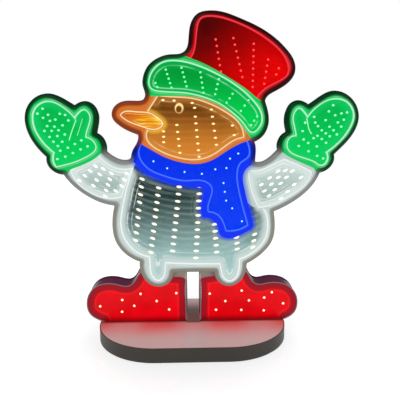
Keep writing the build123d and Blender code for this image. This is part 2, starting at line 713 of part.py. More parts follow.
with BuildPart() as leg_spacers:
    with BuildSketch(front(BOOT_BACK + BOOT_BACK_THICKNESS)):
        with Locations(*LEG_BOLTS):
            Circle(PILLAR_RADIUS)
            Circle(BOLT_RADIUS + 0.2, mode=Mode.SUBTRACT)
    extrude(amount=BOOT_FRONT - BOOT_LENS_THICKNESS - BOOT_BACK - BOOT_BACK_THICKNESS)
save("leg_spacers", leg_spacers.part)

with BuildPart() as leg_nuts:
    with BuildSketch(front(PANEL_BACK + BACK_THICKNESS)):
        with Locations(*LEG_BOLTS):
            RegularPolygon(BOLT_HEAD_RADIUS, 6)
            Circle(BOLT_RADIUS, mode=Mode.SUBTRACT)
    extrude(amount=NUT_THICKNESS)
save("leg_nuts", leg_nuts.part)

# ---- plinth -----------------------------------------------------------------------------------
PLINTH_SCREW_HEAD = 4
PLINTH_SCREW_SEAT = PAD_THICKNESS + 4
PLINTH_SCREW_TIP = PLINTH_TOP + BOOT_WALL + BLOCK_HEIGHT - 4

with BuildPart() as plinth_body:
    with BuildSketch(Plane.XY.offset(PAD_THICKNESS)):
        SlotOverall(PLINTH_LENGTH, PLINTH_WIDTH)
    extrude(amount=PLINTH_TOP - PAD_THICKNESS)
    fillet(plinth_body.faces().sort_by(Axis.Z)[0].edges(), radius=1)
    with BuildSketch(Plane.XY.offset(PLINTH_TOP)):
        SlotOverall(PLINTH_LENGTH - 2 * SHEET_INSET, PLINTH_WIDTH - 2 * SHEET_INSET)
    extrude(amount=-SHEET_THICKNESS, mode=Mode.SUBTRACT)
    with BuildSketch(Plane.XY.offset(PAD_THICKNESS)):
        with Locations(*PLINTH_SCREWS):
            Circle(BOLT_RADIUS + 0.2)
    extrude(amount=PLINTH_TOP, mode=Mode.SUBTRACT)
    with BuildSketch(Plane.XY.offset(PAD_THICKNESS)):
        with Locations(*PLINTH_SCREWS):
            Circle(PLINTH_SCREW_HEAD + 0.3)
    extrude(amount=PLINTH_SCREW_SEAT - PAD_THICKNESS, mode=Mode.SUBTRACT)
save("plinth_body", plinth_body.part)

with BuildPart() as plinth_sheet:
    with BuildSketch(Plane.XY.offset(PLINTH_TOP - SHEET_THICKNESS)):
        SlotOverall(PLINTH_LENGTH - 2 * SHEET_INSET, PLINTH_WIDTH - 2 * SHEET_INSET)
        with Locations(*PLINTH_SCREWS):
            Circle(BOLT_RADIUS + 0.2, mode=Mode.SUBTRACT)
    extrude(amount=SHEET_THICKNESS)
save("plinth_sheet", plinth_sheet.part)

with BuildPart() as plinth_pad:
    with BuildSketch():
        SlotOverall(PLINTH_LENGTH - 2 * PAD_INSET, PLINTH_WIDTH - 2 * PAD_INSET)
    extrude(amount=PAD_THICKNESS)
save("plinth_pad", plinth_pad.part)

with BuildPart() as plinth_screws:
    with BuildSketch(Plane.XY.offset(PLINTH_SCREW_SEAT - 3)):
        with Locations(*PLINTH_SCREWS):
            Circle(PLINTH_SCREW_HEAD)
    extrude(amount=3)
    with BuildSketch(Plane.XY.offset(PLINTH_SCREW_SEAT)):
        with Locations(*PLINTH_SCREWS):
            Circle(BOLT_RADIUS)
    extrude(amount=PLINTH_SCREW_TIP - PLINTH_SCREW_SEAT)
save("plinth_screws", plinth_screws.part)

# ---- battery case with its hinged door, cells and contacts ------------------------------------
CASE_FRONT = PANEL_BACK
BAY_LEFT = CASE_LEFT + CASE_WALL
BAY_BOTTOM = CASE_BOTTOM + CASE_WALL
BAY_TOP = CASE_TOP - CASE_WALL
CONTROL_LEFT = BAY_RIGHT + CASE_WALL
CONTROL_RIGHT = CASE_RIGHT - CASE_WALL
FLOOR = CASE_FRONT - CASE_WALL
LUGS = [KNUCKLE_LEFT - 0.5 - LUG_WIDTH, KNUCKLE_RIGHT + 0.5]
KNOB_WIDTH = 4
KNOB_HEIGHT = 3.2
SLOT_WIDTH = KNOB_WIDTH + 2 * SWITCH_TRAVEL + 0.8
SLOT_HEIGHT = KNOB_HEIGHT + 0.8
hinge_centre = (-HINGE_REAR, HINGE_HEIGHT)


def box_face(left, right, bottom, top):
    """Upright rectangle between four edges."""
    return region((left, bottom), (right, bottom), (right, top), (left, top))


with BuildPart() as battery_case:
    with BuildSketch(front(CASE_REAR)):
        add(box_face(CASE_LEFT, CASE_RIGHT, CASE_BOTTOM, CASE_TOP))
    extrude(amount=CASE_FRONT - CASE_REAR)
    fillet(battery_case.edges().filter_by(Axis.Y), radius=3)
    with BuildSketch(front(CASE_REAR)):
        add(box_face(BAY_LEFT, BAY_RIGHT, BAY_BOTTOM, BAY_TOP))
    extrude(amount=FLOOR - CASE_REAR, mode=Mode.SUBTRACT)
    with BuildSketch(front(CASE_REAR + CASE_WALL)):
        add(box_face(CONTROL_LEFT, CONTROL_RIGHT, BAY_BOTTOM, BAY_TOP))
    extrude(amount=FLOOR - CASE_REAR - CASE_WALL, mode=Mode.SUBTRACT)
    with BuildSketch(front(CASE_REAR)):
        with Locations(SWITCH):
            Rectangle(SLOT_WIDTH, SLOT_HEIGHT)
    extrude(amount=CASE_WALL, mode=Mode.SUBTRACT)
    with BuildSketch(front(FLOOR)):
        with Locations(*LEAD_ENTRIES):
            Circle(LEAD_RADIUS + 0.5)
    extrude(amount=CASE_WALL, mode=Mode.SUBTRACT)
    with BuildSketch(front(CASE_REAR)):
        with Locations(DOOR_SCREW):
            Circle(PILLAR_RADIUS)
    extrude(amount=FLOOR - CASE_REAR)
    with BuildSketch(front(CASE_REAR)):
        with Locations(DOOR_SCREW):
            Circle(SCREW_RADIUS + 0.4)
    extrude(amount=8, mode=Mode.SUBTRACT)
    for start in LUGS:
        with BuildSketch(Plane.YZ.offset(start)):
            with Locations(hinge_centre):
                Circle(KNUCKLE_RADIUS)
            with Locations((9, CASE_TOP)):
                Circle(SCREW_RADIUS)
            make_hull()
            with Locations(hinge_centre):
                Circle(HINGE_PIN_RADIUS + HINGE_CLEARANCE, mode=Mode.SUBTRACT)
        extrude(amount=LUG_WIDTH)
save("battery_case", battery_case.part)

door_front = CASE_REAR - DOOR_GAP
door_top = CASE_TOP - 2.5
with BuildPart() as battery_door:
    with BuildSketch(front(door_front - DOOR_THICKNESS)):
        add(box_face(CASE_LEFT + 1, CONTROL_LEFT, CASE_BOTTOM + 1, door_top))
        with Locations(DOOR_SCREW):
            Circle(SCREW_RADIUS, mode=Mode.SUBTRACT)
    extrude(amount=DOOR_THICKNESS)
    fillet(battery_door.edges().filter_by(Axis.Y).group_by(Axis.Z)[0], radius=3)
    with BuildSketch(Plane.YZ.offset(KNUCKLE_LEFT)):
        with Locations(hinge_centre):
            Circle(KNUCKLE_RADIUS)
        with Locations((-door_front + DOOR_THICKNESS / 2, door_top - 1)):
            Rectangle(DOOR_THICKNESS, 2)
        make_hull()
        with Locations(hinge_centre):
            Circle(HINGE_PIN_RADIUS, mode=Mode.SUBTRACT)
    extrude(amount=KNUCKLE_RIGHT - KNUCKLE_LEFT)
save("battery_door", battery_door.part)

with BuildPart() as hinge_pin:
    with BuildSketch(Plane.YZ.offset(LUGS[0] + 0.5)):
        with Locations(hinge_centre):
            Circle(HINGE_PIN_RADIUS)
    extrude(amount=LUGS[1] + LUG_WIDTH - LUGS[0] - 1)
save("hinge_pin", hinge_pin.part)

with BuildPart() as door_screw:
    with BuildSketch(front(door_front - DOOR_THICKNESS - SCREW_HEAD_HEIGHT)):
        with Locations(DOOR_SCREW):
            Circle(SCREW_HEAD_RADIUS)
    extrude(amount=SCREW_HEAD_HEIGHT)
    with BuildSketch(front(door_front - DOOR_THICKNESS)):
        with Locations(DOOR_SCREW):
            Circle(SCREW_RADIUS)
    extrude(amount=DOOR_THICKNESS + 5)
save("door_screw", door_screw.part)

CELL_AXIS = -FLOOR + CELL_RADIUS + 0.2
CONTACT_LEFT = BAY_LEFT + CONTACT_THICKNESS
CONTACT_RIGHT = BAY_RIGHT - CONTACT_THICKNESS
SPRING_LENGTH = CONTACT_RIGHT - CONTACT_LEFT - CELL_LENGTH
NUB_LENGTH = 1.2
NUB_RADIUS = 2.7
with BuildPart() as cells:
    for i, height in enumerate(CELL_HEIGHTS):
        points_right = i % 2 == 0
        barrel = CONTACT_LEFT + SPRING_LENGTH if points_right else CONTACT_LEFT + NUB_LENGTH
        nub = CONTACT_RIGHT - NUB_LENGTH if points_right else CONTACT_LEFT
        with BuildSketch(Plane.YZ.offset(barrel)):
            with Locations((CELL_AXIS, height)):
                Circle(CELL_RADIUS)
        extrude(amount=CELL_LENGTH - NUB_LENGTH)
        with BuildSketch(Plane.YZ.offset(nub)):
            with Locations((CELL_AXIS, height)):
                Circle(NUB_RADIUS)
        extrude(amount=NUB_LENGTH)
save("cells", cells.part)

with BuildPart() as battery_contacts:
    for left in (BAY_LEFT, CONTACT_RIGHT):
        with BuildSketch(Plane.YZ.offset(left)):
            with Locations(*[(CELL_AXIS, height) for height in CELL_HEIGHTS]):
                Rectangle(10, 11)
        extrude(amount=CONTACT_THICKNESS)
    for i, height in enumerate(CELL_HEIGHTS):
        wall = CONTACT_LEFT if i % 2 == 0 else CONTACT_RIGHT - SPRING_LENGTH
        length = SPRING_LENGTH - 2 * SPRING_WIRE
        start = Location((wall + SPRING_WIRE, CELL_AXIS, height), (0, 90, 0))
        coil = start * Helix(length / SPRING_TURNS, length, SPRING_RADIUS)
        with BuildSketch(Plane(coil @ 0, z_dir=coil % 0)):
            Circle(SPRING_WIRE)
        sweep(path=coil, is_frenet=True)
save("battery_contacts", battery_contacts.part)

# ---- switch and driver board in the control bay -----------------------------------------------
SWITCH_REAR = CASE_REAR + CASE_WALL
SWITCH_DEPTH = 7
POCKET_DEPTH = 3
KNOB_LENGTH = 6.5
with BuildPart() as switch_body:
    with BuildSketch(front(SWITCH_REAR)):
        with Locations(SWITCH):
            Rectangle(18, 8)
    extrude(amount=SWITCH_DEPTH)
    with BuildSketch(front(SWITCH_REAR)):
        with Locations(SWITCH):
            Rectangle(SLOT_WIDTH, SLOT_HEIGHT)
    extrude(amount=POCKET_DEPTH, mode=Mode.SUBTRACT)
save("switch_body", switch_body.part)

with BuildPart() as switch_slider:
    with BuildSketch(front(SWITCH_REAR + POCKET_DEPTH - 0.3 - KNOB_LENGTH)):
        with Locations(SWITCH):
            Rectangle(KNOB_WIDTH, KNOB_HEIGHT)
    extrude(amount=KNOB_LENGTH)
    fillet(switch_slider.faces().sort_by(Axis.Y)[-1].edges(), radius=0.5)
save("switch_slider", switch_slider.part)

BOARD_REAR = FLOOR - 3
with BuildPart() as driver_board:
    with BuildSketch(front(BOARD_REAR)):
        add(box_face(CONTROL_LEFT + 1, CONTROL_RIGHT - 1, 196, 212))
    extrude(amount=1.6)
    with BuildSketch(front(BOARD_REAR - 2)):
        with Locations((31, 205)):
            Rectangle(8, 8)
    extrude(amount=2)
    with BuildSketch(front(BOARD_REAR - 5)):
        with Locations((41, 207)):
            Circle(2.5)
    extrude(amount=5)
save("driver_board", driver_board.part)

# ---- leads from the control bay down the legs to the boots ------------------------------------
LEAD_DEPTH = 15
LEAD_BEND = 6
LEAD_END = -12
for side, entry, end in zip(("left", "right"), LEAD_ENTRIES, LEAD_EXITS):
    corners = [
        (entry[0], 6, entry[1]), (entry[0], -LEAD_DEPTH, entry[1]), (end[0], -LEAD_DEPTH, end[1]),
        (end[0], -LEAD_END, end[1]),
    ]
    with BuildPart() as boot_lead:
        with BuildLine() as route:
            FilletPolyline(*corners, radius=LEAD_BEND)
        with BuildSketch(Plane(route.line @ 0, z_dir=route.line % 0)):
            Circle(LEAD_RADIUS)
        sweep()
    save(f"{side}_boot_lead", boot_lead.part)
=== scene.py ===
import math

import bpy
import numpy as np
from bpy.props import CollectionProperty, FloatProperty, FloatVectorProperty
from bpy.props import PointerProperty, StringProperty
from mathutils import Matrix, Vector
from mathutils.geometry import delaunay_2d_cdt


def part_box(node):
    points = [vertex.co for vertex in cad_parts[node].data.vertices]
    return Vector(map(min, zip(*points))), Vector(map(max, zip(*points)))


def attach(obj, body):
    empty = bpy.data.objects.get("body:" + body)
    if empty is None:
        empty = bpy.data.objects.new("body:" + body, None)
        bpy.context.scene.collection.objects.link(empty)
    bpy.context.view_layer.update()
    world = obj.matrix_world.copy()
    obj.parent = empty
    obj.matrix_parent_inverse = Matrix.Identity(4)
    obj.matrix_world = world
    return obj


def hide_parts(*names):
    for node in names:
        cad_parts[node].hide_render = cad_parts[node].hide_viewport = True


bl_info = {
    "name": "Snowman light box",
    "version": (1, 0, 0),
    "blender": (4, 5, 0),
    "location": "View3D > Sidebar > Snowman",
    "description": "Builds the lenses, windows, lights and finishes of a flat snowman light box",
    "category": "Object",
}

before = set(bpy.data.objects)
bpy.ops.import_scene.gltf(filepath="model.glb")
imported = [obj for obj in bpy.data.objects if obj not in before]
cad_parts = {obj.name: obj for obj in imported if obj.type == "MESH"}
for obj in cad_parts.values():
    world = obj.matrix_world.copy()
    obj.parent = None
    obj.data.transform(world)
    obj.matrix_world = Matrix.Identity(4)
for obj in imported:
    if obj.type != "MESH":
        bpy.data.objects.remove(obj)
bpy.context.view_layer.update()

MM = 0.001
BODY = "display"

# Depths in millimetres in front of the X-Z plane, as in the frame.
LENS_REAR = 27
PANE_REAR = 28.2
PANE_FRONT = 28.9
BEZEL_FACE = 32
TRIM_FACE = 30.5
TRIM_REAR = 22
TRAY_FLOOR = 24.3
TRAY_TOP = 29.6
DOT_BASE = 25
NOSE_FACE = 33
EYE_FACE = 31
BOOT_FACE = 4
BOOT_DOT_BASE = 3.9
BOOT_BAND = 12
PLINTH_TOP = 26
DOOR_FACE = 17.3
BEVEL_TOP = BEZEL_FACE - 0.9
BOOT_GAP_X = 1.7

# Sizes in millimetres of what stands on the frame's pieces.
TRAY_WALL = 0.8
TRIM_WIDTH = 6.0
TRIM_EDGE = 0.3
TINT_BLEND = 2.5
DOT_RISE = 0.8
BOOT_DOT_SIZE = (4.4, 4.4)
CREASE_RADIUS = 0.7
SIDE_CREASE_RADIUS = 0.4
BOOT_ROUND = 0.9
BOOT_DROP = 0.7
FOOT_BAND = 4
FOOT_DROP = 60
HEAD_RADIUS = 2.8
HEAD_RISE = 1.8
RIB_LENGTH = 30
RIB_HALF_WIDTH = 0.8
RIB_RISE = 0.7
RIB_SINK = 0.05
RIB_START = 16
RIB_PITCH = 3.2
RIB_COUNT = 6

# Height in metres that the lamps point at.
LIT_HEIGHT = 0.28

# Outlines: points measured at once, the turn in degrees that stays a corner, and a distance past any other.
CHUNK = 1500
SHARP_TURN = 25
FAR_AWAY = 99.0
# Lines of mesh points beside an edge: as parts of half the bead's width, then in millimetres.
BEAD_LINES = (0.16, 0.45, 1, 1.55, 1.84, 2)
BEVEL_LINES = (3.1, 4.2, 5.3, 6.6, 8, 10, 12.5)
RIM_LINES = (0.7, 1.9)
TRAY_LINES = (1.2, 3, 5, 7.5, 10, 13, 16, 20)
TRIM_LINES = (0.12, 0.35, 0.7, 1.2, 1.9, 2.8, 3.8, 4.9, 6.2, 7.2)
EYE_LINES = (0.12, 0.35, 0.7, 1.1, 1.6)
BOOT_LINES = (0.2, 0.5, 0.9, 2.2, 4, 6.5, 9, 11.5, 14, 18, 23)


def shade(red, green, blue):
    """Linear colour for sRGB values from 0 to 255."""
    values = (red, green, blue)
    return tuple(((v / 255 + 0.055) / 1.055) ** 2.4 if v > 10 else v / 3294.6 for v in values)


def scaled(colour, amount):
    """The colour made brighter or darker."""
    return tuple(v * amount for v in colour)


# Finish of each coloured area: lens, bead line, rim, window at its top and bottom, dots and lights.
ARM = {
    "lens": shade(188, 204, 200), "bead": shade(242, 250, 248), "rim": shade(138, 140, 137),
    "top": shade(206, 222, 217), "bottom": shade(156, 182, 176), "dot": shade(255, 252, 240),
    "ghost": shade(224, 236, 232), "spill": shade(30, 80, 226), "dot_size": (9.6, 4.4),
    "dot_white": 0.8, "edge_light": 0.9,
}
MITTEN = {
    "lens": shade(0, 200, 90), "bead": shade(200, 255, 222), "rim": shade(0, 52, 22),
    "top": shade(0, 186, 78), "bottom": shade(0, 212, 92), "dot": shade(140, 255, 184),
    "ghost": shade(20, 214, 108), "spill": (0, 0, 0), "dot_size": (5, 4.2), "dot_white": 0.15,
    "edge_light": 0.6,
}
AREAS = {
    "crown": {
        "lens": shade(216, 0, 12), "bead": shade(255, 74, 90), "rim": shade(44, 0, 2),
        "top": shade(40, 0, 0), "bottom": shade(252, 0, 0), "dot": shade(255, 44, 44),
        "ghost": shade(150, 0, 8), "spill": (0, 0, 0), "dot_size": (4.8, 4.6), "dot_white": 0.08,
        "edge_light": 0.2, "bead_light": 0.7,
    },
    "brim": {
        "lens": shade(0, 202, 90), "bead": shade(200, 255, 222), "rim": shade(0, 54, 22),
        "top": shade(0, 152, 52), "bottom": shade(0, 216, 82), "dot": shade(96, 246, 150),
        "ghost": shade(0, 196, 92), "spill": (0, 0, 0), "dot_size": (4.6, 4.2), "dot_white": 0.25,
        "edge_light": 0.5,
    },
    "face": {
        "lens": shade(214, 116, 40), "bead": shade(255, 228, 176), "rim": shade(140, 56, 28),
        "top": shade(88, 46, 8), "bottom": shade(218, 134, 46), "dot": shade(255, 222, 128),
        "ghost": shade(226, 146, 58), "spill": shade(255, 200, 64), "dot_size": (6.4, 3.8),
        "dot_white": 0.5, "edge_light": 0.45,
    },
    "scarf": {
        "lens": shade(0, 48, 248), "bead": shade(96, 150, 255), "rim": shade(0, 22, 128),
        "top": shade(0, 48, 240), "bottom": shade(0, 60, 250), "dot": shade(130, 225, 255),
        "ghost": shade(10, 66, 255), "spill": (0, 0, 0), "dot_size": (3.8, 3.8), "dot_white": 0.5,
        "edge_light": 0.05, "bead_light": 0.7,
    },
    "body": {
        "lens": shade(196, 210, 207), "bead": shade(248, 254, 252), "rim": shade(140, 138, 128),
        "top": shade(12, 48, 46), "bottom": shade(168, 208, 204), "dot": shade(255, 242, 206),
        "ghost": shade(208, 224, 220), "spill": shade(0, 62, 236), "dot_size": (11, 4.9), "dot_white": 0.8,
        "edge_light": 0.95, "dark_from": 0.76,
    },
    "left_arm": ARM, "right_arm": ARM, "left_mitten": MITTEN, "right_mitten": MITTEN,
}
COLOUR_WORDS = {
    "lens": "Lens", "bead": "Bead line", "rim": "Rim", "top": "Window top", "bottom": "Window bottom",
    "dot": "Dots", "ghost": "Repeated line", "spill": "Neighbour's light",
}
# Lit piece whose light spills onto an area's lens or window: its node and the depth of its face.
LENS_NEIGHBOURS = dict.fromkeys(("body", "left_arm", "right_arm"), ("scarf_lens", BEZEL_FACE))
WINDOW_NEIGHBOURS = LENS_NEIGHBOURS | {"face": ("nose_lens", NOSE_FACE)}
# Rows of light points that repeat in the mirror: pitch in millimetres, slope and bend per millimetre.
# The scarf has one row, so its pitch is more than its height.
ROWS = {
    "body": (10.9, 0.0, 0.0023), "face": (10.5, 0.0, 0.0006), "left_arm": (10, -0.7, 0.0),
    "right_arm": (10, 0.5, 0.0), "brim": (8, -0.55, 0.0), "crown": (10.5, -0.2, 0.0),
    "left_mitten": (11, -0.5, 0.0), "right_mitten": (11, 0.5, 0.0),
    "scarf": (400, 0.0, 0.0),
}
# Where the line of the window is seen again inside it, as a painted reflection: distances from the window's
# edge.
GHOST_LINES = {
    "brim": [5.5], "face": [6.5], "body": [9.5, 17], "left_arm": [6, 11, 16], "right_arm": [6, 11, 16],
}


# ---- flat outlines read from the frame ------------------------------------------------------
def triangles(node):
    """Corner points of a CAD node's triangles in millimetres, as an array of n x 3 x 3."""
    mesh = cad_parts[node].data
    points = np.empty(len(mesh.vertices) * 3)
    mesh.vertices.foreach_get("co", points)
    mesh.calc_loop_triangles()
    corners = np.empty(len(mesh.loop_triangles) * 3, dtype=int)
    mesh.loop_triangles.foreach_get("vertices", corners)
    return points.reshape(-1, 3)[corners].reshape(-1, 3, 3) / MM


def cross(first, second):
    """Z part of the cross product of plane vectors."""
    return first[..., 0] * second[..., 1] - first[..., 1] * second[..., 0]


def chained(edges):
    """Closed loops of a list of directed edges."""
    following = {}
    for start, end in edges:
        following.setdefault(start, []).append(end)
    loops = []
    while following:
        start = next(iter(following))
        loop = [start]
        here = start
        while True:
            after = following[here].pop()
            if not following[here]:
                del following[here]
            if after == start:
                break
            loop.append(after)
            here = after
        loops.append(loop)
    return loops


def open_edges(faces):
    """Directed edges that only one triangle has."""
    pairs = {(f[i], f[(i + 1) % 3]) for f in faces for i in range(3)}
    return [(a, b) for a, b in pairs if (b, a) not in pairs]


def flat_loops(node, depth):
    """Edge loops of a node's flat faces at this depth that face the viewer, as X-Z points."""
    corners = triangles(node)
    flat = np.all(np.abs(corners[:, :, 1] + depth) < 0.01, axis=1)
    shape = corners[flat][:, :, [0, 2]]
    shape = shape[cross(shape[:, 1] - shape[:, 0], shape[:, 2] - shape[:, 0]) > 0]
    keys = [[tuple(p) for p in np.round(face, 3)] for face in shape]
    loops = [np.array(loop) for loop in chained(open_edges(keys))]
    return [loop for loop in loops if len(loop) > 3 and abs(area(loop)) > 1]


def area(loop):
    """Signed area of a closed loop."""
    return cross(loop, np.roll(loop, -1, axis=0)).sum() / 2


def segments(loops):
    """Start points and steps of all the edges of the loops."""
    starts = np.concatenate(loops)
    ends = np.concatenate([np.roll(loop, -1, axis=0) for loop in loops])
    return starts, ends - starts


def distance(points, loops):
    """Distance of each point to the nearest edge of the loops."""
    starts, steps = segments(loops)
    lengths = np.maximum((steps ** 2).sum(axis=1), 1e-12)
    nearest = []
    for part in np.array_split(points, max(1, len(points) // CHUNK)):
        away = part[:, None] - starts
        along = np.clip((away * steps).sum(axis=2) / lengths, 0, 1)
        gap = away - along[..., None] * steps
        nearest.append(np.sqrt((gap ** 2).sum(axis=2)).min(axis=1))
    return np.concatenate(nearest)


def inside(points, loops):
    """Whether each point lies inside the loops, holes left out."""
    starts, steps = segments(loops)
    ends = starts + steps
    result = []
    for part in np.array_split(points, max(1, len(points) // CHUNK)):
        z = part[:, 1, None]
        spans = (starts[:, 1] > z) != (ends[:, 1] > z)
        rise = np.where(np.abs(steps[:, 1]) < 1e-9, 1e-9, steps[:, 1])
        crossing = starts[:, 0] + (z - starts[:, 1]) / rise * steps[:, 0]
        result.append((spans & (part[:, 0, None] < crossing)).sum(axis=1) % 2 == 1)
    return np.concatenate(result)


def smooth_path(loop, spacing):
    """The loop with even, rounded spans; turns of more than SHARP_TURN stay corners."""
    before = loop - np.roll(loop, 1, axis=0)
    after = np.roll(loop, -1, axis=0) - loop
    turn = np.abs(np.degrees(np.arctan2(cross(before, after), (before * after).sum(axis=1))))
    lengths_before = np.linalg.norm(before, axis=1, keepdims=True)
    lengths_after = np.linalg.norm(after, axis=1, keepdims=True)
    heading = before / lengths_before * lengths_after + after / lengths_after * lengths_before
    heading /= lengths_before + lengths_after
    sharp = turn > SHARP_TURN
    path = []
    for i in range(len(loop)):
        j = (i + 1) % len(loop)
        length = lengths_after[i, 0]
        leave = after[i] / length if sharp[i] else heading[i]
        arrive = after[i] / length if sharp[j] else heading[j]
        count = max(1, round(length / spacing))
        t = np.arange(count)[:, None] / count
        path.append(
            (2 * t ** 3 - 3 * t ** 2 + 1) * loop[i] + (t ** 3 - 2 * t ** 2 + t) * leave * length
            + (3 * t ** 2 - 2 * t ** 3) * loop[j] + (t ** 3 - t ** 2) * arrive * length
        )
    path = np.concatenate(path)
    kept = [path[0]]
    for point in path[1:]:
        if np.linalg.norm(point - kept[-1]) > 0.35 * spacing:
            kept.append(point)
    return np.array(kept)


def headings(loop):
    """Direction of the loop at each of its points."""
    heading = np.roll(loop, -1, axis=0) - np.roll(loop, 1, axis=0)
    return heading / np.maximum(np.linalg.norm(heading, axis=1, keepdims=True), 1e-9)


def widened(loop, reach):
    """The loop moved outwards by this distance, without the bits that fold over at hollow corners."""
    heading = headings(loop)
    outwards = np.c_[heading[:, 1], -heading[:, 0]] * math.copysign(reach, area(loop))
    moved = loop + outwards
    return moved[distance(moved, [loop]) > reach - 0.05]


def ring_points(loops, around, region, steps, spacing):
    """Points on lines parallel to the loops called around, kept inside the region."""
    found = [np.empty((0, 2))]
    for step in steps:
        for loop in around:
            path = smooth_path(loop, spacing)
            heading = headings(path)
            side = np.c_[-heading[:, 1], heading[:, 0]] * step
            found.append(path + side)
            found.append(path - side)
    points = np.concatenate(found)
    points = points[inside(points, region)]
    gap = distance(points, around)
    on_a_ring = np.min(np.abs(gap[:, None] - np.array(steps)), axis=1) < 0.06
    clear = distance(points, loops) > 0.3
    points = points[on_a_ring & clear]
    cell = np.unique(np.round(points / (0.3 * spacing)), axis=0, return_index=True)[1]
    return points[cell]


def grid_points(loops, clearance, spacing):
    """Evenly spread points inside the loops and at least clearance from their edges."""
    low = np.concatenate(loops).min(axis=0)
    high = np.concatenate(loops).max(axis=0)
    across = np.arange(low[0], high[0], spacing)
    up = np.arange(low[1], high[1], spacing)
    points = np.stack(np.meshgrid(across, up), axis=-1).reshape(-1, 2)
    points = points[inside(points, loops)]
    return points[distance(points, loops) > clearance]


def triangulated(loops, inner):
    """Points and triangles that fill the loops, with the inner points as extra corners."""
    points = np.concatenate([*loops, inner])
    edges = []
    first = 0
    for loop in loops:
        count = len(loop)
        edges += [(first + i, first + (i + 1) % count) for i in range(count)]
        first += count
    found = delaunay_2d_cdt([tuple(p) for p in points], edges, [], 0, 1e-4)
    corners = np.array([p[:] for p in found[0]])
    faces = np.array([f for f in found[2] if len(f) == 3])
    faces = faces[inside(corners[faces].mean(axis=1), loops)]
    first, second, third = (corners[faces[:, i]] for i in range(3))
    turned = cross(second - first, third - first) < 0
    faces[turned] = faces[turned][:, ::-1]
    used, renumbered = np.unique(faces, return_inverse=True)
    return corners[used], renumbered.reshape(-1, 3)


# ---- meshes --------------------------------------------------------------------------------
def new_piece(name, points, faces, attributes=None, angle=40):
    """Mesh object at the origin from points in millimetres; attributes hold one value a point."""
    mesh = bpy.data.meshes.new(name)
    mesh.from_pydata((np.asarray(points) * MM).tolist(), [], [list(map(int, f)) for f in faces])
    for label, values in (attributes or {}).items():
        values = np.asarray(values, dtype=float)
        if values.ndim == 1:
            mesh.attributes.new(label, "FLOAT", "POINT").data.foreach_set("value", values)
        else:
            colours = np.c_[values, np.ones(len(values))].ravel()
            mesh.attributes.new(label, "FLOAT_COLOR", "POINT").data.foreach_set("color", colours)
    mesh.validate()
    mesh.polygons.foreach_set("use_smooth", [True] * len(mesh.polygons))
    mesh.set_sharp_from_angle(angle=math.radians(angle))
    piece = bpy.data.objects.new(name, mesh)
    bpy.context.scene.collection.objects.link(piece)
    return piece


def relief(name, loops, inner, height, rear, attributes=None, angle=40):
    """Closed piece over the loops: its front follows height, its back is flat, its sides straight."""
    corners, faces = triangulated(loops, inner)
    count = len(corners)
    front = np.c_[corners[:, 0], -height(corners), corners[:, 1]]
    back = np.c_[corners[:, 0], np.full(count, -float(rear)), corners[:, 1]]
    sides = [(b, a, a + count, b + count) for a, b in open_edges(faces.tolist())]
    all_faces = faces.tolist() + (faces[:, ::-1] + count).tolist() + sides
    values = {label: np.concatenate([rule(corners)] * 2) for label, rule in (attributes or {}).items()}
    return new_piece(name, np.concatenate([front, back]), all_faces, values, angle)


def tray(name, loops, inner, floor, top, attributes):
    """Thin-walled open tray with its floor at one depth and walls that rise to another."""
    corners, faces = triangulated(loops, inner)
    count = len(corners)
    edges = open_edges(faces.tolist())
    rim = sorted({a for edge in edges for a in edge})
    place = {corner: count + i for i, corner in enumerate(rim)}
    low = np.c_[corners[:, 0], np.full(count, -float(floor)), corners[:, 1]]
    high = np.c_[corners[rim, 0], np.full(len(rim), -float(top)), corners[rim, 1]]
    walls = [(b, a, place[a], place[b]) for a, b in edges]
    plane = np.concatenate([corners, corners[rim]])
    values = {label: rule(plane) for label, rule in attributes.items()}
    values["rise"] = np.r_[np.zeros(count), np.ones(len(rim))]
    piece = new_piece(name, np.concatenate([low, high]), faces.tolist() + walls, values)
    wall = piece.modifiers.new("wall", "SOLIDIFY")
    wall.thickness = TRAY_WALL * MM
    wall.offset = -1
    return piece


def finished(piece, body, material, stands_for=()):
    """Rides the piece on its body, gives it its material and hides any CAD parts it stands for."""
    piece.data.materials.clear()
    piece.data.materials.append(material)
    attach(piece, body)
    if stands_for:
        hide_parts(*stands_for)
    return piece


def centres(node):
    """Middle of each separate solid of a CAD node, in millimetres."""
    corners = triangles(node)
    keys = [[tuple(p) for p in np.round(face, 2)] for face in corners]
    parent = {}

    def root(key):
        while parent.setdefault(key, key) != key:
            key = parent[key]
        return key

    for face in keys:
        for key in face[1:]:
            parent[root(key)] = root(face[0])
    groups = {}
    for key in list(parent):
        groups.setdefault(root(key), []).append(key)
    boxes = [np.array(group) for group in groups.values()]
    return np.array(sorted(((box.min(axis=0) + box.max(axis=0)) / 2).tolist() for box in boxes))


# ---- shader maths ----------------------------------------------------------------------------
class Wire:
    """One output socket that can be used in sums."""

    def __init__(self, nodes, socket):
        self.nodes = nodes
        self.socket = socket

    def maths(self, operation, *values):
        return self.nodes.add("ShaderNodeMath", {"operation": operation}, values)

    def __add__(self, other):
        return self.maths("ADD", self, other)

    def __radd__(self, other):
        return self.maths("ADD", other, self)

    def __sub__(self, other):
        return self.maths("SUBTRACT", self, other)

    def __rsub__(self, other):
        return self.maths("SUBTRACT", other, self)

    def __mul__(self, other):
        return self.maths("MULTIPLY", self, other)

    def __rmul__(self, other):
        return self.maths("MULTIPLY", other, self)

    def __abs__(self):
        return self.maths("ABSOLUTE", self)

    def __pow__(self, other):
        return self.maths("POWER", self, other)


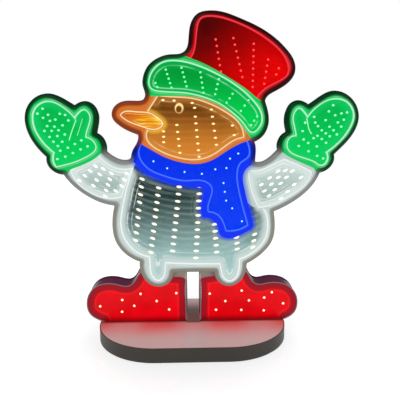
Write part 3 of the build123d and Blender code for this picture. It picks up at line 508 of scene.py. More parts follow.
class Nodes:
    """Adds nodes to one tree."""

    def __init__(self, tree):
        self.tree = tree

    def add(self, kind, settings=None, inputs=(), output=0):
        """New node: its settings first, then values or wires for its sockets."""
        node = self.tree.nodes.new(kind)
        for word, value in (settings or {}).items():
            setattr(node, word, value)
        named = inputs.items() if isinstance(inputs, dict) else enumerate(inputs)
        for word, value in named:
            self.set(node.inputs[word], value)
        return Wire(self, node.outputs[output]) if len(node.outputs) else None

    def set(self, socket, value):
        """Links a wire to the socket, or sets its own value."""
        if isinstance(value, Wire):
            self.tree.links.new(value.socket, socket)
        elif hasattr(socket.default_value, "__len__") and len(socket.default_value) == 4:
            socket.default_value = (*value[:3], 1)
        else:
            socket.default_value = value

    def mix(self, factor, first, second):
        """Blend of two colours."""
        settings = {"data_type": "RGBA"}
        return self.add("ShaderNodeMix", settings, {0: factor, 6: first, 7: second}, output=2)

    def place(self, axis=None):
        """Object coordinates, or one of them in metres."""
        spot = self.add("ShaderNodeTexCoord", output=3)
        if axis is None:
            return spot
        return self.add("ShaderNodeSeparateXYZ", None, [spot], output="XYZ".index(axis))

    def attribute(self, name, output=2):
        """A mesh attribute: 2 is its number, 0 its colour."""
        return self.add("ShaderNodeAttribute", {"attribute_name": name}, output=output)

    def ramp(self, value, low, high):
        """0 at or below low, 1 at or above high, with soft ends."""
        settings = {"interpolation_type": "SMOOTHSTEP"}
        return self.add("ShaderNodeMapRange", settings, {0: value, 1: low, 2: high, 3: 0, 4: 1})

    def line(self, value, centre, width):
        """1 on the line where value is centre, 0 at half the width away from it."""
        return 1 - self.ramp(abs(value - centre), 0.15 * width, 0.5 * width)

    def noise(self, scale, detail=3, stretch=(1, 1, 1), roughness=0.55):
        """Soft noise from 0 to 1 on Object coordinates, with a scale in lumps a metre."""
        spot = self.add("ShaderNodeMapping", None, {0: self.place(), 3: stretch})
        inputs = {"Vector": spot, "Scale": scale, "Detail": detail, "Roughness": roughness}
        return self.add("ShaderNodeTexNoise", None, inputs)

    def bump(self, height, strength, depth):
        """Normal from a height; depth is in millimetres."""
        inputs = {"Strength": strength, "Distance": depth * MM, "Height": height}
        return self.add("ShaderNodeBump", None, inputs)


def material(name, wires=None, **values):
    """New material: wires is a function from Nodes to linked sockets, values are plain numbers."""
    made = bpy.data.materials.new(name)
    made.use_nodes = True
    nodes = Nodes(made.node_tree)
    shader = next(n for n in made.node_tree.nodes if n.type == "BSDF_PRINCIPLED")
    for word, value in values.items():
        nodes.set(shader.inputs[word.replace("_", " ").title().replace("Ior", "IOR")], value)
    if wires:
        for word, value in wires(nodes).items():
            nodes.set(shader.inputs[word], value)
    return made


# ---- lit lens, window and dot materials --------------------------------------------------------
def lens_material(name, look):
    """Edge-lit acrylic: bead line, bright bevel and a darker line beside the rim."""

    def wires(nodes):
        window = nodes.attribute("from_window")
        rim = nodes.attribute("from_rim")
        beside = nodes.attribute("beside")
        patches = nodes.noise(38, 2)
        bead = (1 - nodes.ramp(window, 1.2, 2.9)) * nodes.ramp(beside, 3, 9)
        inner_line = nodes.line(window, 4.2, 1.7) * nodes.ramp(patches, 0.35, 0.6)
        fade = nodes.ramp(rim, 6, 9.6)
        base = nodes.mix(fade, nodes.mix(0.62, look.lens, look.rim), look.lens)
        base = nodes.mix(inner_line * 0.5 * look.edge_light, base, look.bead)
        base = nodes.mix(bead * (0.65 + 0.35 * patches) * look.bead_light, base, look.bead)
        base = nodes.mix((1 - nodes.ramp(beside, 0, 9)) * 0.62, base, look.spill)
        ripple = nodes.noise(260, 2)
        return {
            "Base Color": nodes.mix(0.9, base, (0, 0, 0)),
            "Emission Color": nodes.mix(1 - 0.16 * patches, (0, 0, 0), base),
            "Roughness": 0.14 + 0.1 * ripple,
            "Normal": nodes.bump(ripple, 0.12, 0.2),
        }

    return material(name, wires, emission_strength=0.98, specular_ior_level=0.12)


def window_material(name, look, ghosts):
    """Lit mirror inside a window: gradient, rows and edge lines repeated in the mirror as painted
    reflections, and bright walls.
    """

    def wires(nodes):
        inset = nodes.attribute("inset")
        rise = nodes.attribute("rise")
        level = nodes.attribute("level")
        beside = nodes.attribute("beside")
        row = nodes.attribute("row")
        patches = nodes.noise(30, 3)
        streaks = nodes.noise(60, 2, (0.25, 1, 1.6))
        darkness = nodes.ramp(level + 0.2 * (patches - 0.5), 0.02, look.dark_from)
        body = nodes.mix(darkness, look.bottom, look.top)
        # Painted reflections: soft bands along the rows of light points, as the mirror repeats them.
        wave = nodes.add("ShaderNodeMath", {"operation": "COSINE"}, [row * (2 * math.pi)])
        band = (0.5 + 0.5 * wave) ** 2
        body = nodes.mix(band * nodes.ramp(streaks, 0.25, 0.7) * (0.3 - 0.18 * level), body, look.ghost)
        clear = nodes.ramp(beside, 4, 16)
        near_edge = (1 - nodes.ramp(inset + 3 * (patches - 0.5), 1, 15)) * clear
        body = nodes.mix(near_edge * look.edge_light, body, look.ghost)
        # Painted reflections: the window's edge line seen again inside it.
        for place in ghosts:
            strength = look.edge_light * 8.5 / (place + 3)
            line = nodes.line(inset + 1.6 * (patches - 0.5), place, 2.8) * nodes.ramp(beside, 14, 26)
            body = nodes.mix(line * nodes.ramp(streaks, 0.35, 0.6) * strength, body, look.bead)
        glow = nodes.mix(nodes.ramp(rise, 0.05, 0.9), body, scaled(look.lens, 0.9))
        glow = nodes.mix((1 - nodes.ramp(beside, 0, 9)) * 0.75, glow, look.spill)
        return {
            "Base Color": nodes.mix(0.93, glow, (0, 0, 0)),
            "Emission Color": glow,
            "Roughness": 0.22 + 0.12 * patches,
            "Normal": nodes.bump(streaks, 0.08, 0.3),
        }

    return material(name, wires, emission_strength=0.97, specular_ior_level=0.08)


def pane_material(name, look):
    """Thin clear pane over a window, with faint smudges."""

    def wires(nodes):
        smudge = nodes.noise(24, 4)
        return {
            "Base Color": nodes.mix(0.3 * smudge, scaled(look.lens, 0.25), scaled(look.lens, 0.1)),
            "Roughness": 0.05 + 0.08 * smudge,
            "Alpha": 0.03 + 0.04 * smudge,
        }

    return material(name, wires, specular_ior_level=0.2)


def dot_material(name, look):
    """Light point: bright in the middle and fading at its edge."""

    def wires(nodes):
        core = nodes.attribute("core")
        heart = nodes.mix(nodes.ramp(core, 0.35, 0.9) * look.dot_white, look.dot, (1, 1, 1))
        colour = nodes.mix(nodes.ramp(core, 0.02, 0.5), nodes.mix(0.4, look.ghost, look.dot), heart)
        return {
            "Base Color": nodes.mix(0.5, colour, (0, 0, 0)),
            "Emission Color": colour,
            "Alpha": nodes.ramp(core, 0.0, 0.5),
        }

    return material(name, wires, emission_strength=1.05, roughness=0.3, specular_ior_level=0.1)


def rim_material():
    """Tinted trim cap, darker towards its outer edge and lit beside the lens."""

    def wires(nodes):
        tint = nodes.attribute("tint", output=0)
        lit = nodes.attribute("lit", output=0)
        edge = nodes.attribute("from_edge")
        cloud = nodes.noise(45, 3)
        grain = nodes.noise(900, 2)
        shadow = 1 - nodes.ramp(edge, 0.2, 2.2)
        colour = nodes.mix(0.5 * shadow, tint, (0.004, 0.004, 0.004))
        colour = nodes.mix(0.16 * nodes.ramp(edge, 5.6, 8), colour, lit)
        colour = nodes.mix(0.18 * cloud, colour, (0, 0, 0))
        return {
            "Base Color": nodes.mix(0.75, colour, (0, 0, 0)),
            "Emission Color": colour,
            "Roughness": 0.28 + 0.14 * cloud,
            "Normal": nodes.bump(grain, 0.05, 0.05),
        }

    return material("tinted_trim", wires, emission_strength=0.78, specular_ior_level=0.08)


def nose_material():
    """Orange carrot nose with a pale loop and yellow streaks along it."""

    def wires(nodes):
        edge = nodes.attribute("inset")
        along = nodes.ramp(nodes.place("X"), -0.116, -0.072)
        streaks = nodes.noise(170, 3, (0.1, 1, 1.3))
        patches = nodes.noise(60, 2)
        ridge = nodes.line(edge, 1.7, 2.6)
        second = nodes.line(edge, 5.4, 1.5) * nodes.ramp(patches, 0.3, 0.6)
        colour = nodes.mix(along, shade(192, 82, 20), shade(230, 138, 18))
        bright = nodes.ramp(streaks, 0.46, 0.66) * (0.1 + 0.8 * along)
        colour = nodes.mix(bright, colour, shade(255, 232, 84))
        colour = nodes.mix((1 - nodes.ramp(streaks, 0.3, 0.46)) * 0.7, colour, shade(176, 74, 6))
        colour = nodes.mix(second * 0.6, colour, shade(255, 224, 120))
        colour = nodes.mix(1 - nodes.ramp(edge, 0.2, 1.1), colour, shade(196, 98, 40))
        colour = nodes.mix(ridge * (0.75 + 0.25 * patches), colour, shade(255, 240, 200))
        return {
            "Base Color": nodes.mix(0.9, colour, (0, 0, 0)),
            "Emission Color": colour,
            "Roughness": 0.14 + 0.12 * patches,
            "Normal": nodes.bump(streaks, 0.1, 0.3),
        }

    return material("carrot_nose", wires, emission_strength=0.97, specular_ior_level=0.15)


def eye_material():
    """Ring of the eye: pale crest with darker flanks, brighter at the top."""

    def wires(nodes):
        crest = nodes.ramp(nodes.attribute("inset"), 0.35, 1.3)
        top = nodes.ramp(nodes.place("Z"), 0.402, 0.413)
        patches = nodes.noise(160, 2)
        colour = nodes.mix(crest * (0.6 + 0.4 * top), shade(140, 88, 26), shade(255, 226, 150))
        colour = nodes.mix(0.2 * patches, colour, shade(190, 130, 50))
        return {
            "Base Color": nodes.mix(0.8, colour, (0, 0, 0)),
            "Emission Color": colour,
            "Roughness": 0.2 + 0.1 * patches,
        }

    return material("eye_glow", wires, emission_strength=0.95, specular_ior_level=0.15)


def glowing(name, colour, dark, strength=1.0):
    """Small lit piece with a slightly uneven glow."""

    def wires(nodes):
        patches = nodes.noise(160, 2)
        lit = nodes.mix(0.35 * patches, colour, dark)
        return {
            "Base Color": nodes.mix(0.6, lit, (0, 0, 0)),
            "Emission Color": lit,
            "Roughness": 0.2 + 0.1 * patches,
        }

    return material(name, wires, emission_strength=strength)


def boot_lens_material():
    """Red boot front: lit middle, darker band beside the walls and a dark foot."""

    def wires(nodes):
        inset = nodes.attribute("inset")
        up = nodes.place("Z")
        cloud = nodes.noise(26, 3)
        fine = nodes.noise(420, 2)
        band = 1 - nodes.ramp(inset + 2.5 * (cloud - 0.5), BOOT_BAND - 3.5, BOOT_BAND + 1)
        foot = 1 - nodes.ramp(up, PLINTH_TOP * MM, (PLINTH_TOP + 15) * MM)
        colour = nodes.mix(nodes.ramp(cloud, 0.3, 0.75), shade(214, 0, 10), shade(240, 0, 18))
        colour = nodes.mix(nodes.line(inset, BOOT_BAND + 1.5, 3.4) * 0.4, colour, shade(255, 36, 40))
        colour = nodes.mix(band * 0.85, colour, shade(142, 14, 30))
        colour = nodes.mix((1 - nodes.ramp(inset, 0.2, 2.2)) * 0.6, colour, shade(98, 24, 34))
        colour = nodes.mix(foot * 0.8, colour, shade(96, 0, 4))
        return {
            "Base Color": nodes.mix(0.93, colour, (0, 0, 0)),
            "Emission Color": colour,
            "Roughness": 0.18 + 0.12 * cloud,
            "Normal": nodes.bump(fine, 0.06, 0.1),
        }

    return material("lit_red_boot", wires, emission_strength=0.97, specular_ior_level=0.1)


def boot_wall_material():
    """Plum acrylic walls, greyer above the gap between the boots, with painted light: a pale painted
    highlight on the front edge, the boots' red light painted towards the front and dark red painted shade
    at the bottom.
    """

    def wires(nodes):
        depth = nodes.place("Y")
        across = nodes.place("X")
        up = nodes.place("Z")
        cloud = nodes.noise(30, 3)
        beside_gap = 1 - nodes.ramp(abs(across - BOOT_GAP_X * MM), 0.024, 0.05)
        grey = beside_gap * nodes.ramp(up, 0.09, 0.104)
        # Painted highlight: mask of a pale band along the walls' front edge.
        front = 1 - nodes.ramp(depth, -0.0039, -0.0033)
        colour = nodes.mix(0.6 * cloud, shade(88, 12, 60), shade(56, 4, 36))
        # Painted light: redder towards the front, the boot fronts' red light painted on the walls.
        colour = nodes.mix((1 - nodes.ramp(depth, 0, 0.03)) * 0.3, colour, shade(110, 8, 40))
        colour = nodes.mix(grey * 0.9, colour, shade(158, 146, 132))
        # Painted highlight along the front edge.
        colour = nodes.mix(front * 0.8, colour, shade(150, 124, 122))
        # Painted shade: dark red along the bottom of the walls, just above the plinth.
        colour = nodes.mix(1 - nodes.ramp(up, 0.0268, 0.031), colour, shade(86, 0, 4))
        return {
            "Base Color": nodes.mix(0.85, colour, (0, 0, 0)),
            "Emission Color": nodes.mix(0.1, colour, (0, 0, 0)),
            "Roughness": 0.24 + 0.16 * cloud,
            "Normal": nodes.bump(nodes.noise(500, 2), 0.05, 0.05),
        }

    return material("plum_acrylic", wires, emission_strength=0.75, specular_ior_level=0.15)


# ---- plain finishes of the frame's own pieces -------------------------------------------------
def coated(name, colour, rough, grain=700, bump=0.12, mottle=0.25, metallic=0.0):
    """Painted, moulded or cast surface with a fine grain and uneven gloss."""

    def wires(nodes):
        cloud = nodes.noise(22, 4)
        fine = nodes.noise(grain, 3)
        return {
            "Base Color": nodes.mix(mottle * cloud, colour, scaled(colour, 0.55)),
            "Roughness": rough - 0.06 + 0.14 * cloud,
            "Normal": nodes.bump(fine, bump, 0.15),
        }

    return material(name, wires, metallic=metallic)


def brushed(name, colour, rough):
    """Plated metal with fine scratches."""

    def wires(nodes):
        lines = nodes.noise(1400, 2, (0.08, 1, 1))
        cloud = nodes.noise(60, 3)
        return {
            "Base Color": nodes.mix(0.3 * cloud, colour, scaled(colour, 0.6)),
            "Roughness": rough + 0.16 * lines,
            "Normal": nodes.bump(lines, 0.08, 0.04),
        }

    return material(name, wires, metallic=1.0)


def plinth_top_material():
    """Polished sheet, pale partly in its own colour and partly as a painted reflection, that glows faintly
    and has the boots' red reflection painted on it, painted shade in the gap between them and a dark red
    painted shadow at their foot.
    """

    def wires(nodes):
        depth = nodes.place("Y")
        across = nodes.place("X")
        off_middle = abs(across - BOOT_GAP_X * MM)
        cloud = nodes.noise(14, 3)
        ahead = -1 * depth - BOOT_FACE * MM
        # Painted reflection of the boots' red light on the sheet in front of them: these masks make up
        # glow, stronger in lobes below each boot and towards the ends.
        covered = nodes.ramp(ahead, -0.042, -0.034)
        near = (1 - nodes.ramp(ahead + 0.016 * (cloud - 0.5), 0.0, 0.08)) * covered
        lobes = nodes.line(off_middle, 0.062, 0.1)
        ends = nodes.ramp(abs(across), 0.13, 0.165)
        # Painted shade in the gap between the boots, fading out towards the back.
        between = 1 - nodes.ramp(off_middle, 0.009, 0.016)
        gap = between * (1 - nodes.ramp(ahead, 0.0, 0.012)) * nodes.ramp(ahead, -0.112, -0.05)
        # Painted shadow: a thin dark red band along the foot of the boots.
        foot = 1 - nodes.ramp(abs(ahead - 0.0015), 0.001, 0.006)
        glow = near * (0.55 + 0.3 * lobes + 0.25 * ends)
        # Pale pink tone: partly the sheet's own colour, partly a painted reflection.
        colour = nodes.mix(0.12 * cloud, shade(198, 170, 168), shade(178, 152, 150))
        # Painted red reflection of the boots.
        colour = nodes.mix(glow, colour, shade(218, 36, 44))
        # Painted dark red shadow at the boots' foot.
        colour = nodes.mix(foot * 0.55, colour, shade(120, 8, 14))
        # Painted shade in the gap between the boots.
        colour = nodes.mix(gap * 0.9, colour, shade(84, 60, 56))
        # Painted light: the sheet glows faintly with its whole colour.
        return {
            "Base Color": nodes.mix(0.5, colour, (0, 0, 0)),
            "Emission Color": colour,
            "Roughness": 0.18 + 0.12 * cloud,
        }

    return material("polished_sheet", wires, emission_strength=0.55, specular_ior_level=0.25)


def cell_material():
    """Wrapped cells: blue sleeve with a copper band at one end and fine wrinkles."""

    def wires(nodes):
        along = nodes.place("X")
        band = nodes.ramp(along, 0.0, 0.001)
        wrinkle = nodes.noise(300, 3, (0.3, 1, 1))
        colour = nodes.mix(band, shade(40, 88, 150), shade(190, 118, 66))
        return {
            "Base Color": nodes.mix(0.3 * wrinkle, colour, (0.02, 0.02, 0.02)),
            "Roughness": 0.3 + 0.15 * wrinkle,
        }

    return material("cell_sleeve", wires, metallic=0.3)


def wood_material():
    """Beech block with straight grain."""

    def wires(nodes):
        grain = nodes.noise(220, 4, (0.06, 1, 1))
        colour = nodes.mix(nodes.ramp(grain, 0.3, 0.7), shade(206, 168, 122), shade(170, 126, 82))
        return {
            "Base Color": colour,
            "Roughness": 0.55 + 0.15 * grain,
            "Normal": nodes.bump(grain, 0.2, 0.2),
        }

    return material("beech", wires)


# ---- properties -------------------------------------------------------------------------------
def colour_property(word):
    """Colour with its own name and description."""
    label = COLOUR_WORDS[word]
    return FloatVectorProperty(
        name=label, description=f"Linear colour of the part called {label.lower()}", subtype="COLOR",
        size=3, min=0, max=1, default=(0.5, 0.5, 0.5),
    )


def share_property(name, description, default, low=0.0):
    """Number up to 1 that a user sets with a slider."""
    return FloatProperty(
        name=name, description=description, default=default, min=low, max=1, subtype="FACTOR"
    )


class SNOWMAN_PG_area(bpy.types.PropertyGroup):
    """Finish of one coloured area"""

    area: StringProperty(name="Area", description="Name of the coloured area", default="")
    lens: colour_property("lens")
    bead: colour_property("bead")
    rim: colour_property("rim")
    top: colour_property("top")
    bottom: colour_property("bottom")
    dot: colour_property("dot")
    ghost: colour_property("ghost")
    spill: colour_property("spill")
    dot_size: FloatVectorProperty(
        name="Dot size", description="Width and height of one light point in millimetres", size=2,
        default=(4.0, 4.0),
    )
    dot_white: share_property("White heart", "Share of white in the middle of a light point", 0.5)
    dark_from: share_property(
        "Dark from", "Height in the window, from 0 to 1, above which it is darkest", 0.98, 0.1
    )
    bead_light: share_property("Bead light", "Strength of the bead line", 1.0)
    edge_light: share_property("Edge light", "Strength of the light band inside the window's edge", 0.5)


class SNOWMAN_PG_sizes(bpy.types.PropertyGroup):
    """Sizes of the lens relief"""

    spacing: FloatProperty(
        name="Spacing", description="Distance between mesh points along an outline, in millimetres",
        default=1.8, min=0.8, max=6,
    )
    bead_width: FloatProperty(
        name="Bead width", description="Width of the raised bead line, in millimetres", default=2.2,
        min=0.5, max=5,
    )
    bead_height: FloatProperty(
        name="Bead height", description="Height of the bead above the bevel, in millimetres", default=0.9,
        min=0, max=3,
    )
    bevel_drop: FloatProperty(
        name="Bevel drop", description="How far the bevel falls from bead to rim, in millimetres",
        default=1.4, min=0, max=4,
    )
    trim_lip: FloatProperty(
        name="Trim lip", description="How far the trim laps over the walls, in millimetres", default=1.8,
        min=0.2, max=4,
    )


class SNOWMAN_PG_stage(bpy.types.PropertyGroup):
    """Floor, light and view"""

    floor_size: FloatProperty(
        name="Floor", description="Side of the floor", default=9.0, subtype="DISTANCE", unit="LENGTH"
    )
    surround: FloatProperty(
        name="Surround", description="Brightness of the light from all sides", default=0.2, min=0, max=3
    )
    key_power: FloatProperty(
        name="Key light", description="Power of the large light", default=9.0, unit="POWER"
    )
    lens_length: FloatProperty(
        name="Lens", description="Focal length of the camera in millimetres", default=38.7, min=10, max=200
    )
    pitch: FloatProperty(
        name="Pitch", description="How far the camera looks down", default=math.radians(8.005),
        subtype="ANGLE", unit="ROTATION",
    )
    yaw: FloatProperty(
        name="Yaw", description="How far the camera turns towards +X", default=math.radians(1.249),
        subtype="ANGLE", unit="ROTATION",
    )
    roll: FloatProperty(
        name="Roll", description="How far the camera leans", default=math.radians(-0.4),
        subtype="ANGLE", unit="ROTATION",
    )
    eye: FloatVectorProperty(
        name="Eye", description="Place of the camera", default=(-0.001, -0.7576, 0.357),
        subtype="TRANSLATION", unit="LENGTH",
    )


def fill_areas(scene):
    """Puts the areas' finishes where a user can change them."""
    scene.snowman_areas.clear()
    for name, look in AREAS.items():
        entry = scene.snowman_areas.add()
        entry.area = name
        for word, value in look.items():
            setattr(entry, word, value)


def window_loops(area_name):
    """Edge of the area's window, smooth and evenly divided."""
    spacing = bpy.context.scene.snowman_sizes.spacing
    spots = centres(f"{area_name}_leds")[:, [0, 2]]
    loops = flat_loops(f"{area_name}_lens", LENS_REAR + 2)
    held = [loop for loop in loops if inside(spots, [loop]).mean() > 0.5]
    smallest = min(held, key=lambda loop: abs(area(loop)))
    return [smooth_path(smallest, spacing)]


def beside_rule(area_name, neighbours):
    """Distance to the lit neighbour of an area, or a far distance where it has none."""
    if area_name not in neighbours:
        return lambda points: np.full(len(points), FAR_AWAY)
    node, depth = neighbours[area_name]
    loops = [smooth_path(loop, 3) for loop in flat_loops(node, depth)]
    return lambda points: distance(points, loops)


def row_rule(area_name):
    """Number of the row of light points that a point lies on, whole on the rows themselves."""
    pitch, slope, bend = ROWS[area_name]

    def number(points):
        return (points[:, 1] - slope * points[:, 0] - bend * points[:, 0] ** 2) / pitch

    turns = np.exp(2j * math.pi * number(centres(f"{area_name}_leds")[:, [0, 2]]))
    phase = np.angle(turns.mean()) / (2 * math.pi)
    return lambda points: number(points) - phase


# ---- operators --------------------------------------------------------------------------------
class SNOWMAN_OT_lenses(bpy.types.Operator):
    """Bevelled lens with its bead line for each coloured area"""

    bl_idname = "snowman.lenses"
    bl_label = "Lenses"

    def execute(self, context):
        sizes = context.scene.snowman_sizes
        half = sizes.bead_width / 2
        steps = [part * half for part in BEAD_LINES] + list(BEVEL_LINES)
        rim = [max(flat_loops("face_trim", TRIM_FACE), key=lambda loop: abs(area(loop)))]
        for look in context.scene.snowman_areas:
            name = look.area
            window = window_loops(name)
            region = [smooth_path(loop, sizes.spacing) for loop in flat_loops(f"{name}_lens", BEZEL_FACE)]
            inner = ring_points(region, window, region, steps, sizes.spacing)
            outer = sorted(region, key=lambda loop: -abs(area(loop)))[:1]
            beside = ring_points([*region, inner], outer, region, RIM_LINES, sizes.spacing)
            inner = np.concatenate([inner, beside])

            def height(points, window=window, outer=outer):
                from_window = distance(points, window)
                across = from_window / (from_window + distance(points, outer) + 0.01)
                bead = np.sqrt(np.clip(1 - ((from_window - half) / half) ** 2, 0, 1))
                bevel = BEVEL_TOP - sizes.bevel_drop * across ** 1.6
                return bevel + sizes.bead_height * bead

            measures = {
                "from_window": lambda points, window=window: distance(points, window),
                "from_rim": lambda points: distance(points, rim),
                "beside": beside_rule(name, LENS_NEIGHBOURS),
            }
            piece = relief(f"{name}_bevel", region, inner, height, LENS_REAR + 0.4, measures)
            finished(piece, BODY, lens_material(f"{name}_acrylic", look), [f"{name}_lens"])
        return {"FINISHED"}


def pane_front(points):
    """Depth of a pane's front, the same everywhere."""
    return np.full(len(points), PANE_FRONT)


class SNOWMAN_OT_windows(bpy.types.Operator):
    """Lit tray and clear pane in each window"""

    bl_idname = "snowman.windows"
    bl_label = "Windows"

    def execute(self, context):
        spacing = context.scene.snowman_sizes.spacing
        for look in context.scene.snowman_areas:
            name = look.area
            window = window_loops(name)
            rings = ring_points(window, window, window, TRAY_LINES, 1.6 * spacing)
            inner = np.concatenate([rings, grid_points(window, 22, 7)])
            low = window[0].min(axis=0)
            high = window[0].max(axis=0)
            lean = 0.9 if name == "crown" else 0.0

            def level(points, low=low, high=high, lean=lean):
                part = (points - low) / (high - low)
                return (part[:, 1] - lean * part[:, 0] + lean) / (1 + lean)

            measures = {
                "inset": lambda points, window=window: distance(points, window), "level": level,
                "beside": beside_rule(name, WINDOW_NEIGHBOURS), "row": row_rule(name),
            }
            floor = tray(f"{name}_window", window, inner, TRAY_FLOOR, TRAY_TOP, measures)
            finish = window_material(f"{name}_mirror", look, GHOST_LINES.get(name, []))
            finished(floor, BODY, finish, ["mirror_sheet"])
            pane = relief(f"{name}_pane", window, np.empty((0, 2)), pane_front, PANE_REAR)
            finished(pane, BODY, pane_material(f"{name}_pane", look))
        return {"FINISHED"}


class SNOWMAN_OT_trim(bpy.types.Operator):
    """Rounded trim around the panel, tinted by the areas it passes"""

    bl_idname = "snowman.trim"
    bl_label = "Trim"

    def execute(self, context):
        spacing = context.scene.snowman_sizes.spacing
        loops = [smooth_path(loop, spacing) for loop in flat_loops("face_trim", TRIM_FACE)]
        loops.sort(key=lambda loop: -abs(area(loop)))
        lip = context.scene.snowman_sizes.trim_lip
        loops[0] = widened(loops[0], lip)
        outer = loops[:1]
        width = TRIM_WIDTH + lip
        inner = ring_points(loops, outer, loops, TRIM_LINES, spacing)
        inner = inner[distance(inner, loops) > 0.08]
        near = {
            look.area: [smooth_path(loop, 3) for loop in flat_loops(f"{look.area}_lens", BEZEL_FACE)]
            for look in context.scene.snowman_areas
        }

        def height(points):
            part = np.clip(distance(points, outer) / width, 0, 1)
            rise = TRIM_FACE - TRIM_REAR - TRIM_EDGE
            return TRIM_REAR + TRIM_EDGE + rise * np.sqrt(1 - (1 - part) ** 2)

        def blended(points, word):
            gaps = np.stack([distance(points, near[look.area]) for look in context.scene.snowman_areas])
            weights = np.exp(-(gaps - gaps.min(axis=0)) / TINT_BLEND)
            colours = np.array([getattr(look, word)[:] for look in context.scene.snowman_areas])
            return (weights / weights.sum(axis=0)).T @ colours

        measures = {
            "tint": lambda points: blended(points, "rim"), "lit": lambda points: blended(points, "lens"),
            "from_edge": lambda points: distance(points, outer),
        }
        piece = relief("panel_trim", loops, inner, height, TRIM_REAR, measures, angle=60)
        finished(piece, BODY, rim_material(), ["face_trim"])
        return {"FINISHED"}


class SNOWMAN_OT_nose(bpy.types.Operator):
    """Carrot nose with its raised loop, and the ring of the eye"""

    bl_idname = "snowman.nose"
    bl_label = "Nose and eye"

    def execute(self, context):
        spacing = context.scene.snowman_sizes.spacing
        edge = [smooth_path(loop, 0.7 * spacing) for loop in flat_loops("nose_lens", NOSE_FACE)]
        crest = 1.7
        steps = [0.15, 0.45, 0.9, 1.3, crest, 2.1, 2.6, 3.2, 4.2, 5.6, 7.2, 9]
        edge_drop, loop_rise, dome_rise, dome_reach = 2, 1.8, 1.3, 6

        def height(points):
            gap = distance(points, edge)
            loop = np.sqrt(np.clip(1 - ((gap - crest) / crest) ** 2, 0, 1))
            dome = 1 - np.exp(-gap / dome_reach)
            return NOSE_FACE - edge_drop + loop_rise * loop + dome_rise * dome

        inner = ring_points(edge, edge, edge, steps, 0.7 * spacing)
        inner = inner[distance(inner, edge) > 0.1]
        measures = {"inset": lambda points: distance(points, edge)}
        nose = relief("carrot_nose", edge, inner, height, LENS_REAR, measures)
        finished(nose, BODY, nose_material(), ["nose_lens"])

        fine = 0.8
        ring_drop, ring_rise = 1.6, 1.9
        ring = [smooth_path(loop, fine) for loop in flat_loops("eye_ring", EYE_FACE)]
        ring.sort(key=lambda loop: -abs(area(loop)))

        def ring_height(points):
            from_hole = distance(points, ring[1:])
            part = from_hole / (from_hole + distance(points, ring[:1]) + 1e-6)
            return EYE_FACE - ring_drop + ring_rise * np.sqrt(np.clip(1 - (2 * part - 1) ** 2, 0, 1))

        inner = ring_points(ring, ring, ring, EYE_LINES, fine)
        measures = {"inset": lambda points: distance(points, ring)}
        eye = relief("eye_loop", ring, inner, ring_height, PANE_FRONT - 0.2, measures)
        finished(eye, BODY, eye_material(), ["eye_ring"])
        return {"FINISHED"}


# Slope of the light points in degrees: at the middle, per 100 mm to the right, least and most.
DOT_SLOPES = {
    "body": (-3, 26, -28, 25), "left_arm": (-36, 0, -36, -36), "right_arm": (27, 0, 27, 27),
    "face": (0, 4, -6, 8),
}


def opened_tree(name, inputs):
    """Geometry Nodes tree with a mesh, the named inputs and a material: it, its nodes and their wires."""
    tree = bpy.data.node_groups.new(name, "GeometryNodeTree")
    for word, kind in {"Geometry": "Geometry", **inputs, "Material": "Material"}.items():
        tree.interface.new_socket(word, in_out="INPUT", socket_type=f"NodeSocket{kind}")
    tree.interface.new_socket("Geometry", in_out="OUTPUT", socket_type="NodeSocketGeometry")
    nodes = Nodes(tree)
    entry = nodes.add("NodeGroupInput").socket.node
    return tree, nodes, {socket.name: Wire(nodes, socket) for socket in entry.outputs if socket.name}


def close_tree(nodes, placed, finish):
    """Makes the placed copies real, gives them the finish and sends them out of the tree."""
    real = nodes.add("GeometryNodeRealizeInstances", None, {"Geometry": placed})
    painted = nodes.add("GeometryNodeSetMaterial", None, {"Geometry": real, "Material": finish})
    nodes.add("NodeGroupOutput", None, [painted])


def dots_tree():
    """Geometry Nodes: a low dome on every point, turned by the point's slope."""
    inputs = {"Width": "Float", "Height": "Float", "Rise": "Float"}
    tree, nodes, given = opened_tree("light_points", inputs)
    dome = nodes.add("GeometryNodeMeshUVSphere", None, {"Segments": 12, "Rings": 6, "Radius": 1.0})
    spot = nodes.add("GeometryNodeInputPosition")
    apart = nodes.add("ShaderNodeSeparateXYZ", None, [spot]).socket.node
    across = Wire(nodes, apart.outputs[0])
    up = Wire(nodes, apart.outputs[2])
    core = 1 - (across * across + up * up)
    marked = nodes.add(
        "GeometryNodeStoreNamedAttribute", {"data_type": "FLOAT", "domain": "POINT"},
        {"Geometry": dome, "Name": "core", "Value": core},
    )
    slope = nodes.add("GeometryNodeInputNamedAttribute", {"data_type": "FLOAT"}, {"Name": "slope"})
    turn = nodes.add("ShaderNodeCombineXYZ", None, [0.0, slope, 0.0])
    size = nodes.add(
        "ShaderNodeCombineXYZ", None, [given["Width"] * 0.5, given["Rise"], given["Height"] * 0.5]
    )
    placed = nodes.add(
        "GeometryNodeInstanceOnPoints", None,
        {"Points": given["Geometry"], "Instance": marked, "Rotation": turn, "Scale": size},
    )
    close_tree(nodes, placed, given["Material"])
    return tree


def baked(source, tree, inputs):
    """Runs the Geometry Nodes tree on the object and leaves a plain mesh of its result."""
    modifier = source.modifiers.new("build", "NODES")
    modifier.node_group = tree
    for item in tree.interface.items_tree:
        if item.in_out == "INPUT" and item.name in inputs:
            modifier[item.identifier] = inputs[item.name]
    seen = source.evaluated_get(bpy.context.evaluated_depsgraph_get())
    mesh = bpy.data.meshes.new_from_object(seen)
    source.modifiers.remove(modifier)
    source.data = mesh
    mesh.polygons.foreach_set("use_smooth", [True] * len(mesh.polygons))
    mesh.set_sharp_from_angle(angle=math.radians(40))
    return source


